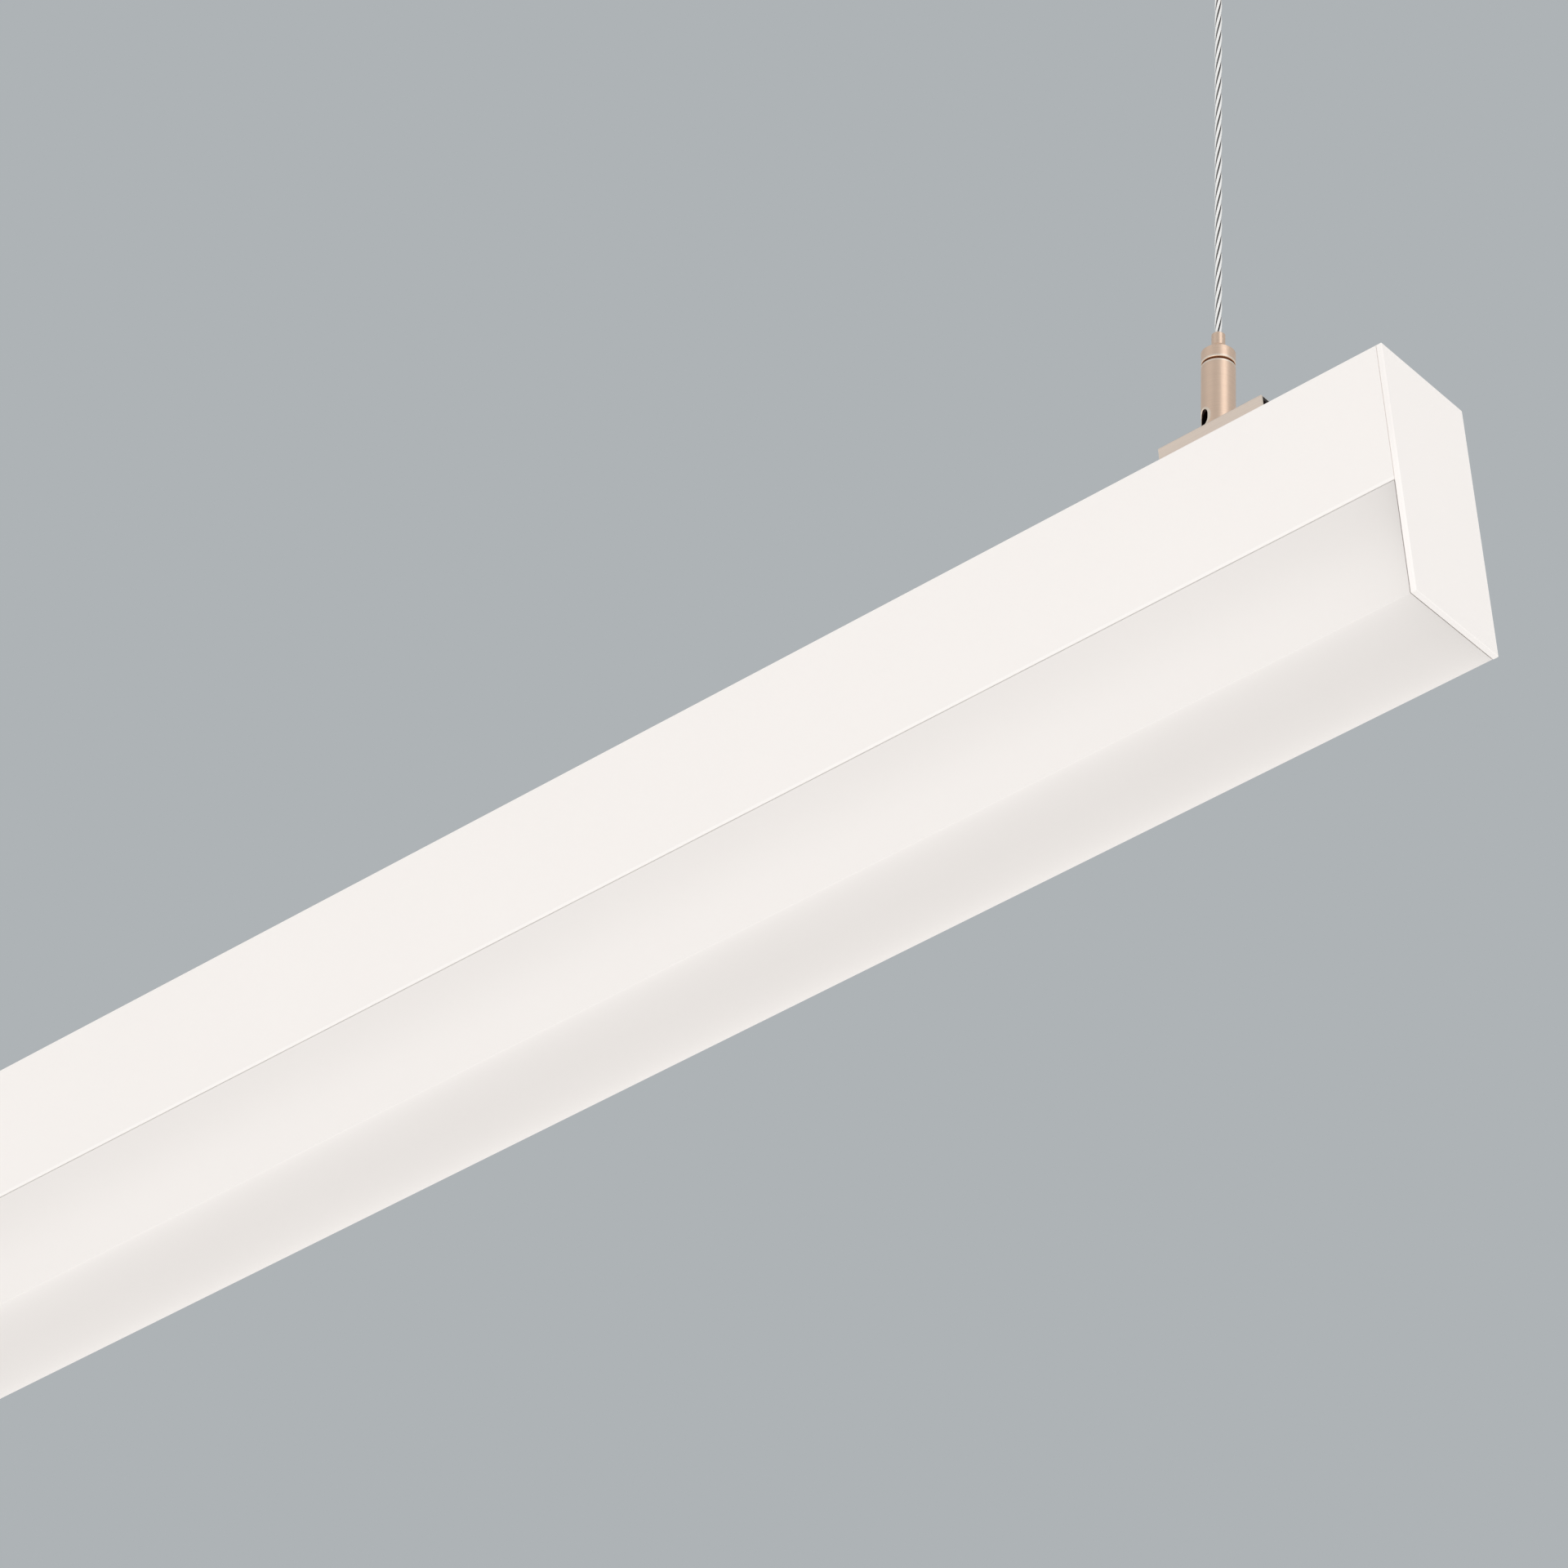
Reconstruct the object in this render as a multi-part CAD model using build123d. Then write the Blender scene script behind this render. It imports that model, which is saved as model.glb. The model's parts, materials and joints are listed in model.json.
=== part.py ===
from build123d import *
import math
import os

# Linear pendant light on two wire ropes: a metal profile with an opal diffuser below it.
# The origin lies on the ceiling, midway between the two ceiling fixings. +Z is up, +X runs along the light.
# Lengths are in millimetres. Names that end in _z are heights, and names that end in _x are places along X.
# The suspension on the left is the one on the right, turned half round about Z.

# The whole light
body_length = 600.0  # over both end caps
body_width = 38.0
body_height = 82.0
metal_height = 44.8  # profile above the seam with the diffuser
drop = 200.0  # from the ceiling to the top of the profile
hang_inset = 64.5  # from the end of the light to the gripper's pivot
wire_lean = 19.5  # how much further out each wire is held at the ceiling
sway_limit = 10.0  # degrees either way

# Clearances
slide_gap = 0.3  # faces that slide past one another
fit_gap = 0.05  # round pieces that turn or screw into one another
seat_gap = 0.3  # pieces that stand beside one another
overcut = 1.0  # how far a cutting tool runs past a face

# Metal profile
side_wall = 2.0
roof_wall = 2.0  # lips over the slot
slot_mouth = 8.4
slot_lip = 3.0  # how far each lip covers the slot
slot_depth = 4.2
slot_wall = 1.8  # beside and under the slot
web_wall = 2.0  # carries the boards below and the gear tray above
groove_depth = 9.0  # of the grooves that hold the diffuser, above the seam
leg_wall = 1.6  # inner wall of those grooves
leg_short = 0.8  # how far that wall ends above the seam
profile_edge = 0.3  # rounding of the long outer edges
port_bore = 3.2
port_wall = 1.6
port_skin = 0.6  # metal left between a port and the outer face

# Diffuser
diffuser_inset = 0.1  # behind the outline of the caps
diffuser_wall = 2.0
diffuser_corner = 0.2
diffuser_end_gap = 0.15  # to each cap
tongue_wall = 1.6
tongue_headroom = 1.2  # above the tongue in its groove
shoulder_wall = 2.0

# End caps
cap_wall = 1.8
cap_edge = 0.25
peg_length = 10.0
peg_gap = 0.1
cap_joint = 0.25  # bevel against the profile
rim_wall = 1.2
rim_depth = 5.0

# Boards
board_side = 3.2  # between a board and the legs beside it
board_wall = 1.6
board_gap = 10.0  # between the two boards
board_margin = 13.0  # between a board and the end of the profile
led_length = 3.5
led_width = 2.8
led_height = 0.7
led_pitch = 12.0
led_margin = 20.0  # from a board's inner end to its first light-emitting diode
connector_length = 6.0
connector_width = 9.0
connector_height = 3.5

# Small screws
screw_thread = 3.0
screw_head = 5.5
screw_head_height = 1.8
screw_slot = 0.8
screw_short = 0.2  # how far a screw's tip ends inside its hole
board_screws = 3  # on each board
board_screw_inset = 4.0  # from the board's outer end
board_screw_start = 14.0  # from the board's inner end
board_screw_margin = 3.0  # from the board's side

# Gear tray and what stands on it
tray_sheet = 1.0
tray_flange = 6.0
tray_gap = 0.5  # beside the ports
tray_margin = 3.0  # short of the profile's end and past the driver
tray_screw_margin = 2.0  # from the flange
tray_screw_inset = 6.5  # from the profile's end
grommet_bore = 4.8
grommet_wall = 1.2
grommet_flange = 1.2
grommet_margin = 0.7  # from the tray's flange
driver_x = 24.0  # end of the driver that has its terminals
driver_length = 160.0
driver_headroom = 4.8  # under the slot
driver_gap = 0.8  # beside the tray's flanges
driver_edge = 1.0
ear_length = 9.0
ear_wall = 1.6
pocket_depth = 10.0
pocket_height = 10.0
pocket_side = 1.2
pocket_rib = 1.0  # between the two pockets
pocket_gap = 0.1
entry_bore = 2.4
terminal_offset = 35.0  # from the gland to the terminal block
terminal_length = 30.0
terminal_gap = 2.5  # beside the tray's flanges
terminal_side = 3.0  # from an outer pole to the block's side
terminal_height = 15.0
terminal_entry = 2.6
terminal_entry_depth = 8.0
terminal_entry_rise = 6.0
well_bore = 3.6
well_inset = 5.0
well_floor = 1.7  # over the lead's entry
well_screw_gap = 0.1
well_screw_height = 3.0

# Leads
mains_lead = 2.0
led_lead = 1.4
lead_reach = 4.0  # how far a lead goes into its terminal
lead_run = 12.0  # straight out of a terminal
lead_bend = 8.0
led_lead_bend = 3.0
led_lead_turn = 2.0
led_lead_step = 0.9  # each lead's distance from the grommet's middle along the light
led_lead_side = 1.1  # and across it
link_offset = 4.0  # from the grommet's middle to the link between the boards
tag_offset = 24.0  # from the terminal block's end to the earth screw
tag_margin = 0.5  # from the tray's flange
tag_diameter = 8.0
tag_wall = 0.8
tag_barrel = 7.0
tag_barrel_wall = 0.4

# Cable gland
gland_offset = 11.3  # from the left bracket's inner end
gland_bore = 7.0
gland_wall = 1.5
gland_flats = 14.0
gland_flange = 4.0
gland_spigot_wall = 1.0
gland_spigot_height = 6.0
gland_tail = 5.0  # neck below the slot
gland_pocket_depth = 5.0
lock_nut_height = 3.0
seal_bore = 6.4
seal_wall = 1.35
seal_rise = 0.5  # above the spigot
dome_wall = 1.55
dome_roof = 2.7
dome_edge = 1.5

# Saddle bracket
bracket_inset = 2.0  # behind the profile's sides
bracket_height = 5.8
bracket_sheet = 1.2
bracket_back = 8.2  # from the pivot towards the middle of the light
bracket_front = 25.1  # from the pivot towards the end of the light
bracket_bend = 0.8
lug_radius = 4.0
lug_gap = 0.2
pin_diameter = 3.0
pin_head = 5.2
pin_head_height = 0.9
clamp_offset = 15.5  # from the pivot to the clamp screw
clamp_thread = 5.0
clamp_hole_gap = 0.2
clamp_head = 8.5
clamp_head_height = 4.0
clamp_socket = 4.0
clamp_socket_depth = 2.5
nut_length = 16.0
nut_wall = 2.6
nut_neck = 1.5  # above the profile

# Gripper
wire_diameter = 2.0
wire_gap = 0.4
tongue_radius = 3.6
tongue_thickness = 4.6
tongue_gap = 0.6  # over the bracket
neck_gap = 2.0  # from the lugs to the turned body
gripper_length = 21.9
gripper_wall = 1.45
groove_height = 0.6
groove_cut = 0.9
groove_bevel = 0.2  # above and below the groove
head_length = 4.4
head_slope = 2.4  # height of the sloping shoulder
nose_lip = 0.1
exit_offset = 4.15  # from the body's lower end to the middle of the side exit's round upper end
exit_bore = 3.8
exit_slot = 1.0  # how far the side exit is drawn out downwards
exit_turn = -29.0  # degrees about the gripper's axis
exit_rim = 0.6
exit_rim_depth = 0.8
chamber_depth = 11.2
spigot_length = 4.0
spigot_wall = 0.35
jaw_height = 4.3  # of the cone, above the seam
jaw_taper = 7.3  # degrees
plunger_wall = 0.5
plunger_chamfer = 0.3
plunger_gap = 0.15
plunger_travel = 2.0
plunger_proud = 2.1  # what still shows when it is pressed in
cage_drop = 1.7  # below the seam
cage_rise = 2.1  # above the seam
cage_lip = 0.35  # past the middle of the balls
ball_diameter = 1.6
ball_rise = 1.3  # above the seam
ball_gap = 0.05
ball_count = 3
spring_wall = 0.6
wire_tail = 8.25  # lower end of the wire above the side exit

# Ceiling fixing
end_ball = 5.0
barrel_diameter = 16.0
barrel_height = 24.0
barrel_edge = 1.0
barrel_wall = 1.5
seat_floor = 5.5  # from the ball's middle to the barrel's lower end
seat_rise = 2.0  # from the ball's middle to the floor of the barrel's bore
base_flange = 2.0
base_boss = 9.0
fixing_hole = 4.5
fixing_countersink = 9.0

# Outline of the profile and the diffuser
half_length = body_length / 2
profile_end = half_length - cap_wall
half_width = body_width / 2
inner_half = half_width - side_wall
top_z = -drop
bottom_z = top_z - body_height
seam_z = top_z - metal_height
roof_z = top_z - roof_wall
slot_half = slot_mouth / 2 + slot_lip
slot_block_half = slot_half + slot_wall
slot_floor_z = roof_z - slot_depth
slot_block_z = slot_floor_z - slot_wall
web_z = seam_z + groove_depth
web_top_z = web_z + web_wall
port_boss = port_bore / 2 + port_wall
port_inset = port_boss + port_skin
port_y = half_width - port_inset
port_heights = (top_z - port_inset, web_z + port_inset)
tongue_out = inner_half - slide_gap
tongue_in = tongue_out - tongue_wall
leg_out = tongue_in - slide_gap
leg_in = leg_out - leg_wall
tongue_top_z = web_z - tongue_headroom
shoulder_top_z = seam_z - slide_gap
shoulder_z = shoulder_top_z - shoulder_wall
diffuser_half = half_width - diffuser_inset
diffuser_in = diffuser_half - diffuser_wall
diffuser_z = bottom_z + diffuser_inset
diffuser_floor_z = diffuser_z + diffuser_wall
diffuser_end = profile_end - diffuser_end_gap

# Places of the suspension
hang_x = half_length - hang_inset
ceiling_x = hang_x + wire_lean
end_ball_z = seat_floor - barrel_height - base_flange
bracket_half = half_width - bracket_inset
bracket_floor = bracket_height - bracket_sheet
pivot_rise = bracket_height + tongue_gap + tongue_radius
wire_rise = end_ball_z - top_z - pivot_rise
wire_span = math.hypot(wire_lean, wire_rise)
splay = math.degrees(math.atan2(wire_lean, wire_rise))
flare = math.acos(math.cos(math.radians(splay)) * math.cos(math.radians(sway_limit)))
tongue_half = tongue_thickness / 2
lug_low = tongue_half + lug_gap
lug_high = lug_low + bracket_sheet

# Places in the gripper, along its own axis from the pivot
wire_bore = wire_diameter / 2 + wire_gap
ball_ring = (wire_diameter + ball_diameter) / 2 + ball_gap
ball_reach = ball_ring + ball_diameter / 2 + ball_gap
spigot_in = ball_reach + ball_rise * math.tan(math.radians(jaw_taper))
spigot_out = spigot_in + spigot_wall
jaw_top_radius = ball_reach - (jaw_height - ball_rise) * math.tan(math.radians(jaw_taper))
chamber_radius = spigot_out + fit_gap
gripper_radius = chamber_radius + gripper_wall
plunger_radius = wire_bore + plunger_wall
plunger_hole = plunger_radius + plunger_gap
cage_radius = ball_ring + cage_lip
body_start = lug_radius + neck_gap
body_top = body_start + gripper_length
exit_rise = body_start + exit_offset
chamber_floor = body_top - chamber_depth
head_shoulder = body_top + head_length
head_top = head_shoulder + head_slope
plunger_top = head_top + plunger_travel + plunger_proud
cage_low = body_top - cage_drop

# Places inside the profile
screw_hole = screw_thread + 2 * fit_gap
board_half = leg_in - board_side
board_z = web_z - board_wall
board_start = board_gap / 2
board_end = profile_end - board_margin
board_screw_y = board_screw_margin - board_half
tray_half = port_y - port_boss - tray_gap
tray_in = tray_half - tray_sheet
tray_top_z = web_top_z + tray_sheet
tray_low_x = tray_margin - profile_end
tray_screw_x = tray_screw_inset - profile_end
tray_screw_y = tray_screw_margin - tray_in
grommet_outer = grommet_bore / 2 + grommet_wall
grommet_wide = grommet_outer + grommet_wall
grommet_y = tray_in - grommet_margin - grommet_wide
link_y = grommet_y - link_offset
connector_y = (link_y + grommet_y + led_lead_side) / 2
driver_end = driver_x + driver_length
driver_half = tray_in - driver_gap
driver_height = slot_block_z - driver_headroom - tray_top_z
driver_mid_z = tray_top_z + driver_height / 2
driver_ear_places = (driver_x - ear_length / 2, driver_end + ear_length / 2)
tray_high_x = driver_end + ear_length + tray_margin
pocket_width = driver_half - pocket_side - pocket_rib / 2
pocket_y = (pocket_rib + pocket_width) / 2
pole_pitch = pocket_width / 2
gland_x = bracket_back - hang_x + gland_offset
terminal_x = gland_x + terminal_offset
terminal_end = terminal_x + terminal_length / 2
terminal_half = tray_in - terminal_gap
terminal_pitch = terminal_half - terminal_side
terminal_poles = (-terminal_pitch, 0, terminal_pitch)
terminal_top_z = tray_top_z + terminal_height
entry_z = tray_top_z + terminal_entry_rise
well_z = entry_z + terminal_entry / 2 + well_floor
well_reach = terminal_length / 2 - well_inset
tag_x = terminal_end + tag_offset
tag_y = tray_in - tag_margin - tag_diameter / 2
tag_barrel_outer = mains_lead + 2 * fit_gap + 2 * tag_barrel_wall
tag_lead_z = tray_top_z + (tag_wall + tag_barrel_outer) / 2
board_lead_z = board_z - connector_height / 2

# Places in the cable gland, from the top of the profile
gland_neck = gland_bore + 2 * gland_wall
gland_tail_z = slot_block_z - top_z - gland_tail
gland_pocket = seal_bore + 2 * seal_wall + 2 * fit_gap
gland_spigot = gland_pocket + 2 * gland_spigot_wall
spigot_z = gland_flange + gland_spigot_height
seal_z = spigot_z - gland_pocket_depth
dome_roof_z = spigot_z + seal_rise + seat_gap


def rectangle(low_y, low_z, high_y, high_z):
    """Rectangle in a cross-section, from two opposite corners."""
    middle = Pos((low_y + high_y) / 2, (low_z + high_z) / 2)
    return middle * Rectangle(high_y - low_y, high_z - low_z)


def along_x(section, low_x, high_x):
    """Carry a cross-section of Y and Z along the light."""
    return Pos(low_x, 0, 0) * extrude(Plane.YZ * section, high_x - low_x)


def block(low, high):
    """Box between two opposite corners."""
    size = [b - a for a, b in zip(low, high)]
    middle = [(a + b) / 2 for a, b in zip(low, high)]
    return Pos(*middle) * Box(*size)


def rod(diameter, low_z, high_z):
    """Upright cylinder about Z from one height to another."""
    return Pos(0, 0, (low_z + high_z) / 2) * Cylinder(diameter / 2, high_z - low_z)


def turned(outline):
    """Solid of revolution about Z from an outline of radius and height."""
    return revolve(Plane.XZ * make_face(Polyline(*outline, close=True)), Axis.Z)


def hexagon(flats, low_z, high_z):
    """Upright six-sided bar about Z."""
    corner = flats / 2 / math.cos(math.pi / 6)
    return Pos(0, 0, low_z) * extrude(RegularPolygon(corner, 6), high_z - low_z)


def screw(length):
    """Slotted small screw whose head hangs below Z 0 and whose thread points up."""
    head = rod(screw_head, -screw_head_height, 0)
    head = fillet(head.edges().group_by(Axis.Z)[0], screw_head_height / 3)
    slot = Box(screw_head + overcut, screw_slot, screw_head_height)
    return head + rod(screw_thread, 0, length) - Pos(0, 0, -screw_head_height) * slot


def screw_from_above(length):
    """The same screw with its head on top and its thread pointing down."""
    return Rot(180, 0, 0) * screw(length)


def lead(points, bends, diameter):
    """Insulated lead: a round tube along straight runs joined by arcs."""
    path = FilletPolyline(*points, radius=bends)
    tube = sweep(Plane(origin=path @ 0, z_dir=path % 0) * Circle(diameter / 2), path)
    share = tube.volume / (path.length * math.pi * diameter**2 / 4)
    print(f"lead {path.length:.1f} mm long, volume over section times length {share:.4f}")
    return tube


def board_screw_places(side):
    """Places of one board's screws along the light."""
    first = board_start + board_screw_start
    last = board_end - board_screw_inset
    step = (last - first) / (board_screws - 1)
    return [side * (first + step * i) for i in range(board_screws)]


def profile_section():
    """Closed gear chamber with the slot above it and the grooves for the diffuser below it."""
    outline = rectangle(-half_width, seam_z, half_width, top_z)
    section = fillet(outline.vertices(), profile_edge)
    section -= rectangle(-inner_half, web_top_z, inner_half, roof_z)
    section -= rectangle(-inner_half, seam_z, inner_half, web_z)
    section += rectangle(-slot_block_half, slot_block_z, slot_block_half, roof_z)
    section -= rectangle(-slot_half, slot_floor_z, slot_half, roof_z)
    section -= rectangle(-slot_mouth / 2, roof_z, slot_mouth / 2, top_z)
    for side in (-1, 1):
        low, high = sorted((side * leg_in, side * leg_out))
        section += rectangle(low, seam_z + leg_short, high, web_z)
        for port_z in port_heights:
            section += Pos(side * port_y, port_z) * Circle(port_boss)
            section -= Pos(side * port_y, port_z) * Circle(port_bore / 2)
    return section


def housing_profile():
    """Metal profile with the gland's hole in its roof and the screw holes in its web."""
    shape = along_x(profile_section(), -profile_end, profile_end)
    shape -= Pos(gland_x, 0, 0) * rod(gland_neck + 2 * fit_gap, slot_block_z - overcut, top_z + overcut)
    web_low, web_high = web_z - overcut, web_top_z + overcut
    for side in (-1, 1):
        for x in board_screw_places(side):
            shape -= Pos(x, board_screw_y, 0) * rod(screw_hole, web_low, web_high)
    shape -= Pos(0, tray_screw_y, 0) * rod(screw_hole, web_low, web_high)
    shape -= Pos(tray_screw_x, 0, 0) * rod(screw_hole, web_low, web_high)
    shape -= Pos(tag_x, tag_y, 0) * rod(screw_hole, web_low, web_high)
    shape -= Pos(0, grommet_y, 0) * rod(2 * grommet_outer + 2 * fit_gap, web_low, web_high)
    return shape


def diffuser():
    """Opal U with a shoulder under the seam and two tongues that go up into the profile's grooves."""
    outline = rectangle(-diffuser_half, diffuser_z, diffuser_half, shoulder_top_z)
    section = fillet(outline.vertices().group_by(Axis.Y)[0], diffuser_corner)
    section -= rectangle(-diffuser_in, diffuser_floor_z, diffuser_in, shoulder_z)
    section -= rectangle(-tongue_in, shoulder_z, tongue_in, shoulder_top_z)
    for side in (-1, 1):
        low, high = sorted((side * tongue_in, side * tongue_out))
        section += rectangle(low, shoulder_top_z, high, tongue_top_z)
    return along_x(section, -diffuser_end, diffuser_end)


def end_cap():
    """Plain plate over the right end, with pegs for the ports and a rim inside the diffuser."""
    outline = rectangle(-half_width, bottom_z, half_width, top_z)
    plate = along_x(fillet(outline.vertices(), profile_edge), profile_end, half_length)
    plate = fillet(plate.faces().sort_by(Axis.X)[-1].edges(), cap_edge)
    plate = chamfer(plate.faces().sort_by(Axis.X)[0].edges(), cap_joint)
    for side in (-1, 1):
        for port_z in port_heights:
            peg = Rot(0, 90, 0) * rod(port_bore - 2 * peg_gap, -peg_length, 0)
            plate += Pos(profile_end, side * port_y, port_z) * peg
    rim_half = tongue_in - slide_gap
    rim_z = diffuser_floor_z + slide_gap
    rim = rectangle(-rim_half, rim_z, rim_half, shoulder_z)
    rim -= rectangle(-rim_half + rim_wall, rim_z + rim_wall, rim_half - rim_wall, shoulder_z)
    return plate + along_x(rim, profile_end - rim_depth, profile_end)


def led_board(side):
    """Circuit board under the web, with holes for its screws."""
    low_x, high_x = sorted((side * board_start, side * board_end))
    shape = block((low_x, -board_half, board_z), (high_x, board_half, web_z))
    for x in board_screw_places(side):
        shape -= Pos(x, board_screw_y, 0) * rod(screw_hole, board_z - overcut, web_z + overcut)
    return shape


def led_row(side):
    """Light-emitting diodes in one row along a board."""
    room = board_end - board_start - led_margin - led_length
    count = math.floor(room / led_pitch) + 1
    diode = Pos(0, 0, board_z - led_height / 2) * Box(led_length, led_width, led_height)
    return [Pos(side * (board_start + led_margin + led_pitch * i), 0, 0) * diode for i in range(count)]


def board_connector(side):
    """Plug-in connector at a board's inner end, open towards the leads."""
    low_x, high_x = sorted((side * board_start, side * (board_start + connector_length)))
    low = (low_x, connector_y - connector_width / 2, board_z - connector_height)
    shape = block(low, (high_x, connector_y + connector_width / 2, board_z))
    for y in (link_y, grommet_y - led_lead_side, grommet_y + led_lead_side):
        entry = Rot(0, 90, 0) * rod(led_lead + 2 * peg_gap, -lead_reach, lead_reach)
        shape -= Pos(side * board_start, y, board_lead_z) * entry
    return shape


def gear_tray():
    """Folded sheet channel that slides in from the left end and lies on the web."""
    outline = rectangle(-tray_half, web_top_z, tray_half, web_top_z + tray_flange)
    outline -= rectangle(-tray_in, tray_top_z, tray_in, web_top_z + tray_flange)
    shape = along_x(outline, tray_low_x, tray_high_x)
    low, high = web_top_z - overcut, tray_top_z + overcut
    holes = [(0, tray_screw_y), (tray_screw_x, 0), (tag_x, tag_y), (terminal_x, 0)]
    holes += [(x, 0) for x in driver_ear_places]
    for x, y in holes:
        shape -= Pos(x, y, 0) * rod(screw_hole, low, high)
    return shape - Pos(0, grommet_y, 0) * rod(2 * grommet_outer + 2 * fit_gap, low, high)


def lead_grommet():
    """Soft ring that lines the leads' hole in the web and the tray, with a flange on each side."""
    radius = grommet_bore / 2
    outline = [
        (radius, web_z - grommet_flange),
        (grommet_wide, web_z - grommet_flange),
        (grommet_wide, web_z),
        (grommet_outer, web_z),
        (grommet_outer, tray_top_z),
        (grommet_wide, tray_top_z),
        (grommet_wide, tray_top_z + grommet_flange),
        (radius, tray_top_z + grommet_flange),
    ]
    return Pos(0, grommet_y, 0) * turned(outline)


def pocket(side, gap):
    """Space in the driver's end for one of its terminals, widened by a gap."""
    half = pocket_width / 2 + gap
    rise = pocket_height / 2 + gap
    low = (driver_x - gap, side * pocket_y - half, driver_mid_z - rise)
    return block(low, (driver_x + pocket_depth + gap, side * pocket_y + half, driver_mid_z + rise))


def driver_case():
    """Driver with a screw ear at each end and pockets for its terminals."""
    top = tray_top_z + driver_height
    shape = block((driver_x, -driver_half, tray_top_z), (driver_end, driver_half, top))
    shape = fillet(shape.edges().filter_by(Axis.X).group_by(Axis.Z)[-1], driver_edge)
    low = (driver_x - ear_length, -driver_half, tray_top_z)
    shape += block(low, (driver_end + ear_length, driver_half, tray_top_z + ear_wall))
    for side in (-1, 1):
        shape -= pocket(side, pocket_gap)
    for x in driver_ear_places:
        shape -= Pos(x, 0, 0) * rod(screw_hole, tray_top_z - overcut, tray_top_z + ear_wall + overcut)
    return shape


def driver_terminal(side):
    """Two-pole terminal in the driver's end."""
    shape = pocket(side, 0)
    for pole in (-1, 1):
        entry = Rot(0, 90, 0) * rod(entry_bore, -overcut, pocket_depth / 2)
        shape -= Pos(driver_x, side * pocket_y + pole * pole_pitch / 2, driver_mid_z) * entry
    return shape


def terminal_block():
    """Three-pole block with a lead entry and a screw well at both ends of each pole."""
    low = (terminal_x - terminal_length / 2, -terminal_half, tray_top_z)
    shape = block(low, (terminal_end, terminal_half, terminal_top_z))
    shape -= Pos(terminal_x, 0, 0) * rod(screw_hole, tray_top_z - overcut, terminal_top_z + overcut)
    entry = Rot(0, 90, 0) * rod(terminal_entry, -terminal_entry_depth, overcut)
    well = rod(well_bore, well_z, terminal_top_z + overcut)
    for turn in (0, 180):
        for y in terminal_poles:
            pole = Pos(terminal_length / 2, y, entry_z) * entry + Pos(well_reach, y, 0) * well
            shape -= Pos(terminal_x, 0, 0) * Rot(0, 0, turn) * pole
    return shape


def terminal_screws():
    """Clamping screws at the bottom of the terminal block's wells."""
    high = well_z + well_screw_height
    diameter = well_bore - 2 * well_screw_gap
    grub = rod(diameter, well_z, high) - Pos(0, 0, high) * Box(diameter + overcut, screw_slot, 2 * screw_slot)
    places = [(end * well_reach, y) for end in (-1, 1) for y in terminal_poles]
    return [Pos(terminal_x + x, y, 0) * grub for x, y in places]


def earth_tag():
    """Ring under the earth screw with a barrel for the earth lead."""
    edge = -tag_diameter / 2
    shape = rod(tag_diameter, tray_top_z, tray_top_z + tag_wall)
    barrel = Rot(0, 90, 0) * rod(tag_barrel_outer, edge - tag_barrel, edge + tag_wall)
    bore = Rot(0, 90, 0) * rod(mains_lead + 2 * fit_gap, edge - tag_barrel - overcut, edge)
    shape += Pos(0, 0, tag_lead_z) * barrel
    shape -= Pos(0, 0, tag_lead_z) * bore
    shape -= rod(screw_hole, tray_top_z - overcut, tray_top_z + tag_wall + overcut)
    return Pos(tag_x, tag_y, 0) * shape


def mains_leads():
    """Live and neutral leads to the driver, and the earth lead to its tag."""
    floor_z = tray_top_z + mains_lead
    leads = []
    for y, pole in ((-terminal_pitch, -1), (0, 1)):
        driver_y = -pocket_y + pole * pole_pitch / 2
        points = [
            (terminal_end - lead_reach, y, entry_z),
            (terminal_end + lead_run, y, entry_z),
            (terminal_end + 2 * lead_run, driver_y, floor_z),
            (driver_x - ear_length - 2 * lead_run, driver_y, floor_z),
            (driver_x - lead_run, driver_y, driver_mid_z),
            (driver_x + lead_reach, driver_y, driver_mid_z),
        ]
        leads.append(lead(points, lead_bend, mains_lead))
    tag_end = tag_x - tag_diameter / 2
    points = [
        (terminal_end - lead_reach, terminal_pitch, entry_z),
        (terminal_end + lead_reach, terminal_pitch, entry_z),
        (tag_end - tag_barrel - lead_reach, tag_y, tag_lead_z),
        (tag_end, tag_y, tag_lead_z),
    ]
    leads.append(lead(points, lead_bend, mains_lead))
    return leads


def led_leads():
    """Two leads from the driver through the grommet to the boards, and a link between the boards."""
    leads = []
    for side in (-1, 1):
        x, y = side * led_lead_step, grommet_y - side * led_lead_side
        points = [
            (driver_x + lead_reach, pocket_y - side * pole_pitch / 2, driver_mid_z),
            (x, y, driver_mid_z),
            (x, y, board_lead_z),
            (side * (board_start + lead_reach), y, board_lead_z),
        ]
        leads.append(lead(points, [led_lead_bend, led_lead_turn], led_lead))
    reach = board_start + lead_reach
    leads.append(Pos(0, link_y, board_lead_z) * Rot(0, 90, 0) * rod(led_lead, -reach, reach))
    return leads


def cable_gland():
    """Gland body: neck through the profile's slot, flange on its roof and a spigot that holds the seal."""
    shape = rod(gland_neck, gland_tail_z, 0) + hexagon(gland_flats, 0, gland_flange)
    shape += rod(gland_spigot, gland_flange, spigot_z)
    shape -= rod(gland_pocket, seal_z, spigot_z + overcut)
    return shape - rod(gland_bore, gland_tail_z - overcut, spigot_z)


def gland_seal():
    """Soft ring that grips the feed cable."""
    high = spigot_z + seal_rise
    return rod(gland_pocket - 2 * fit_gap, seal_z, high) - rod(seal_bore, seal_z - overcut, high + overcut)


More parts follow.
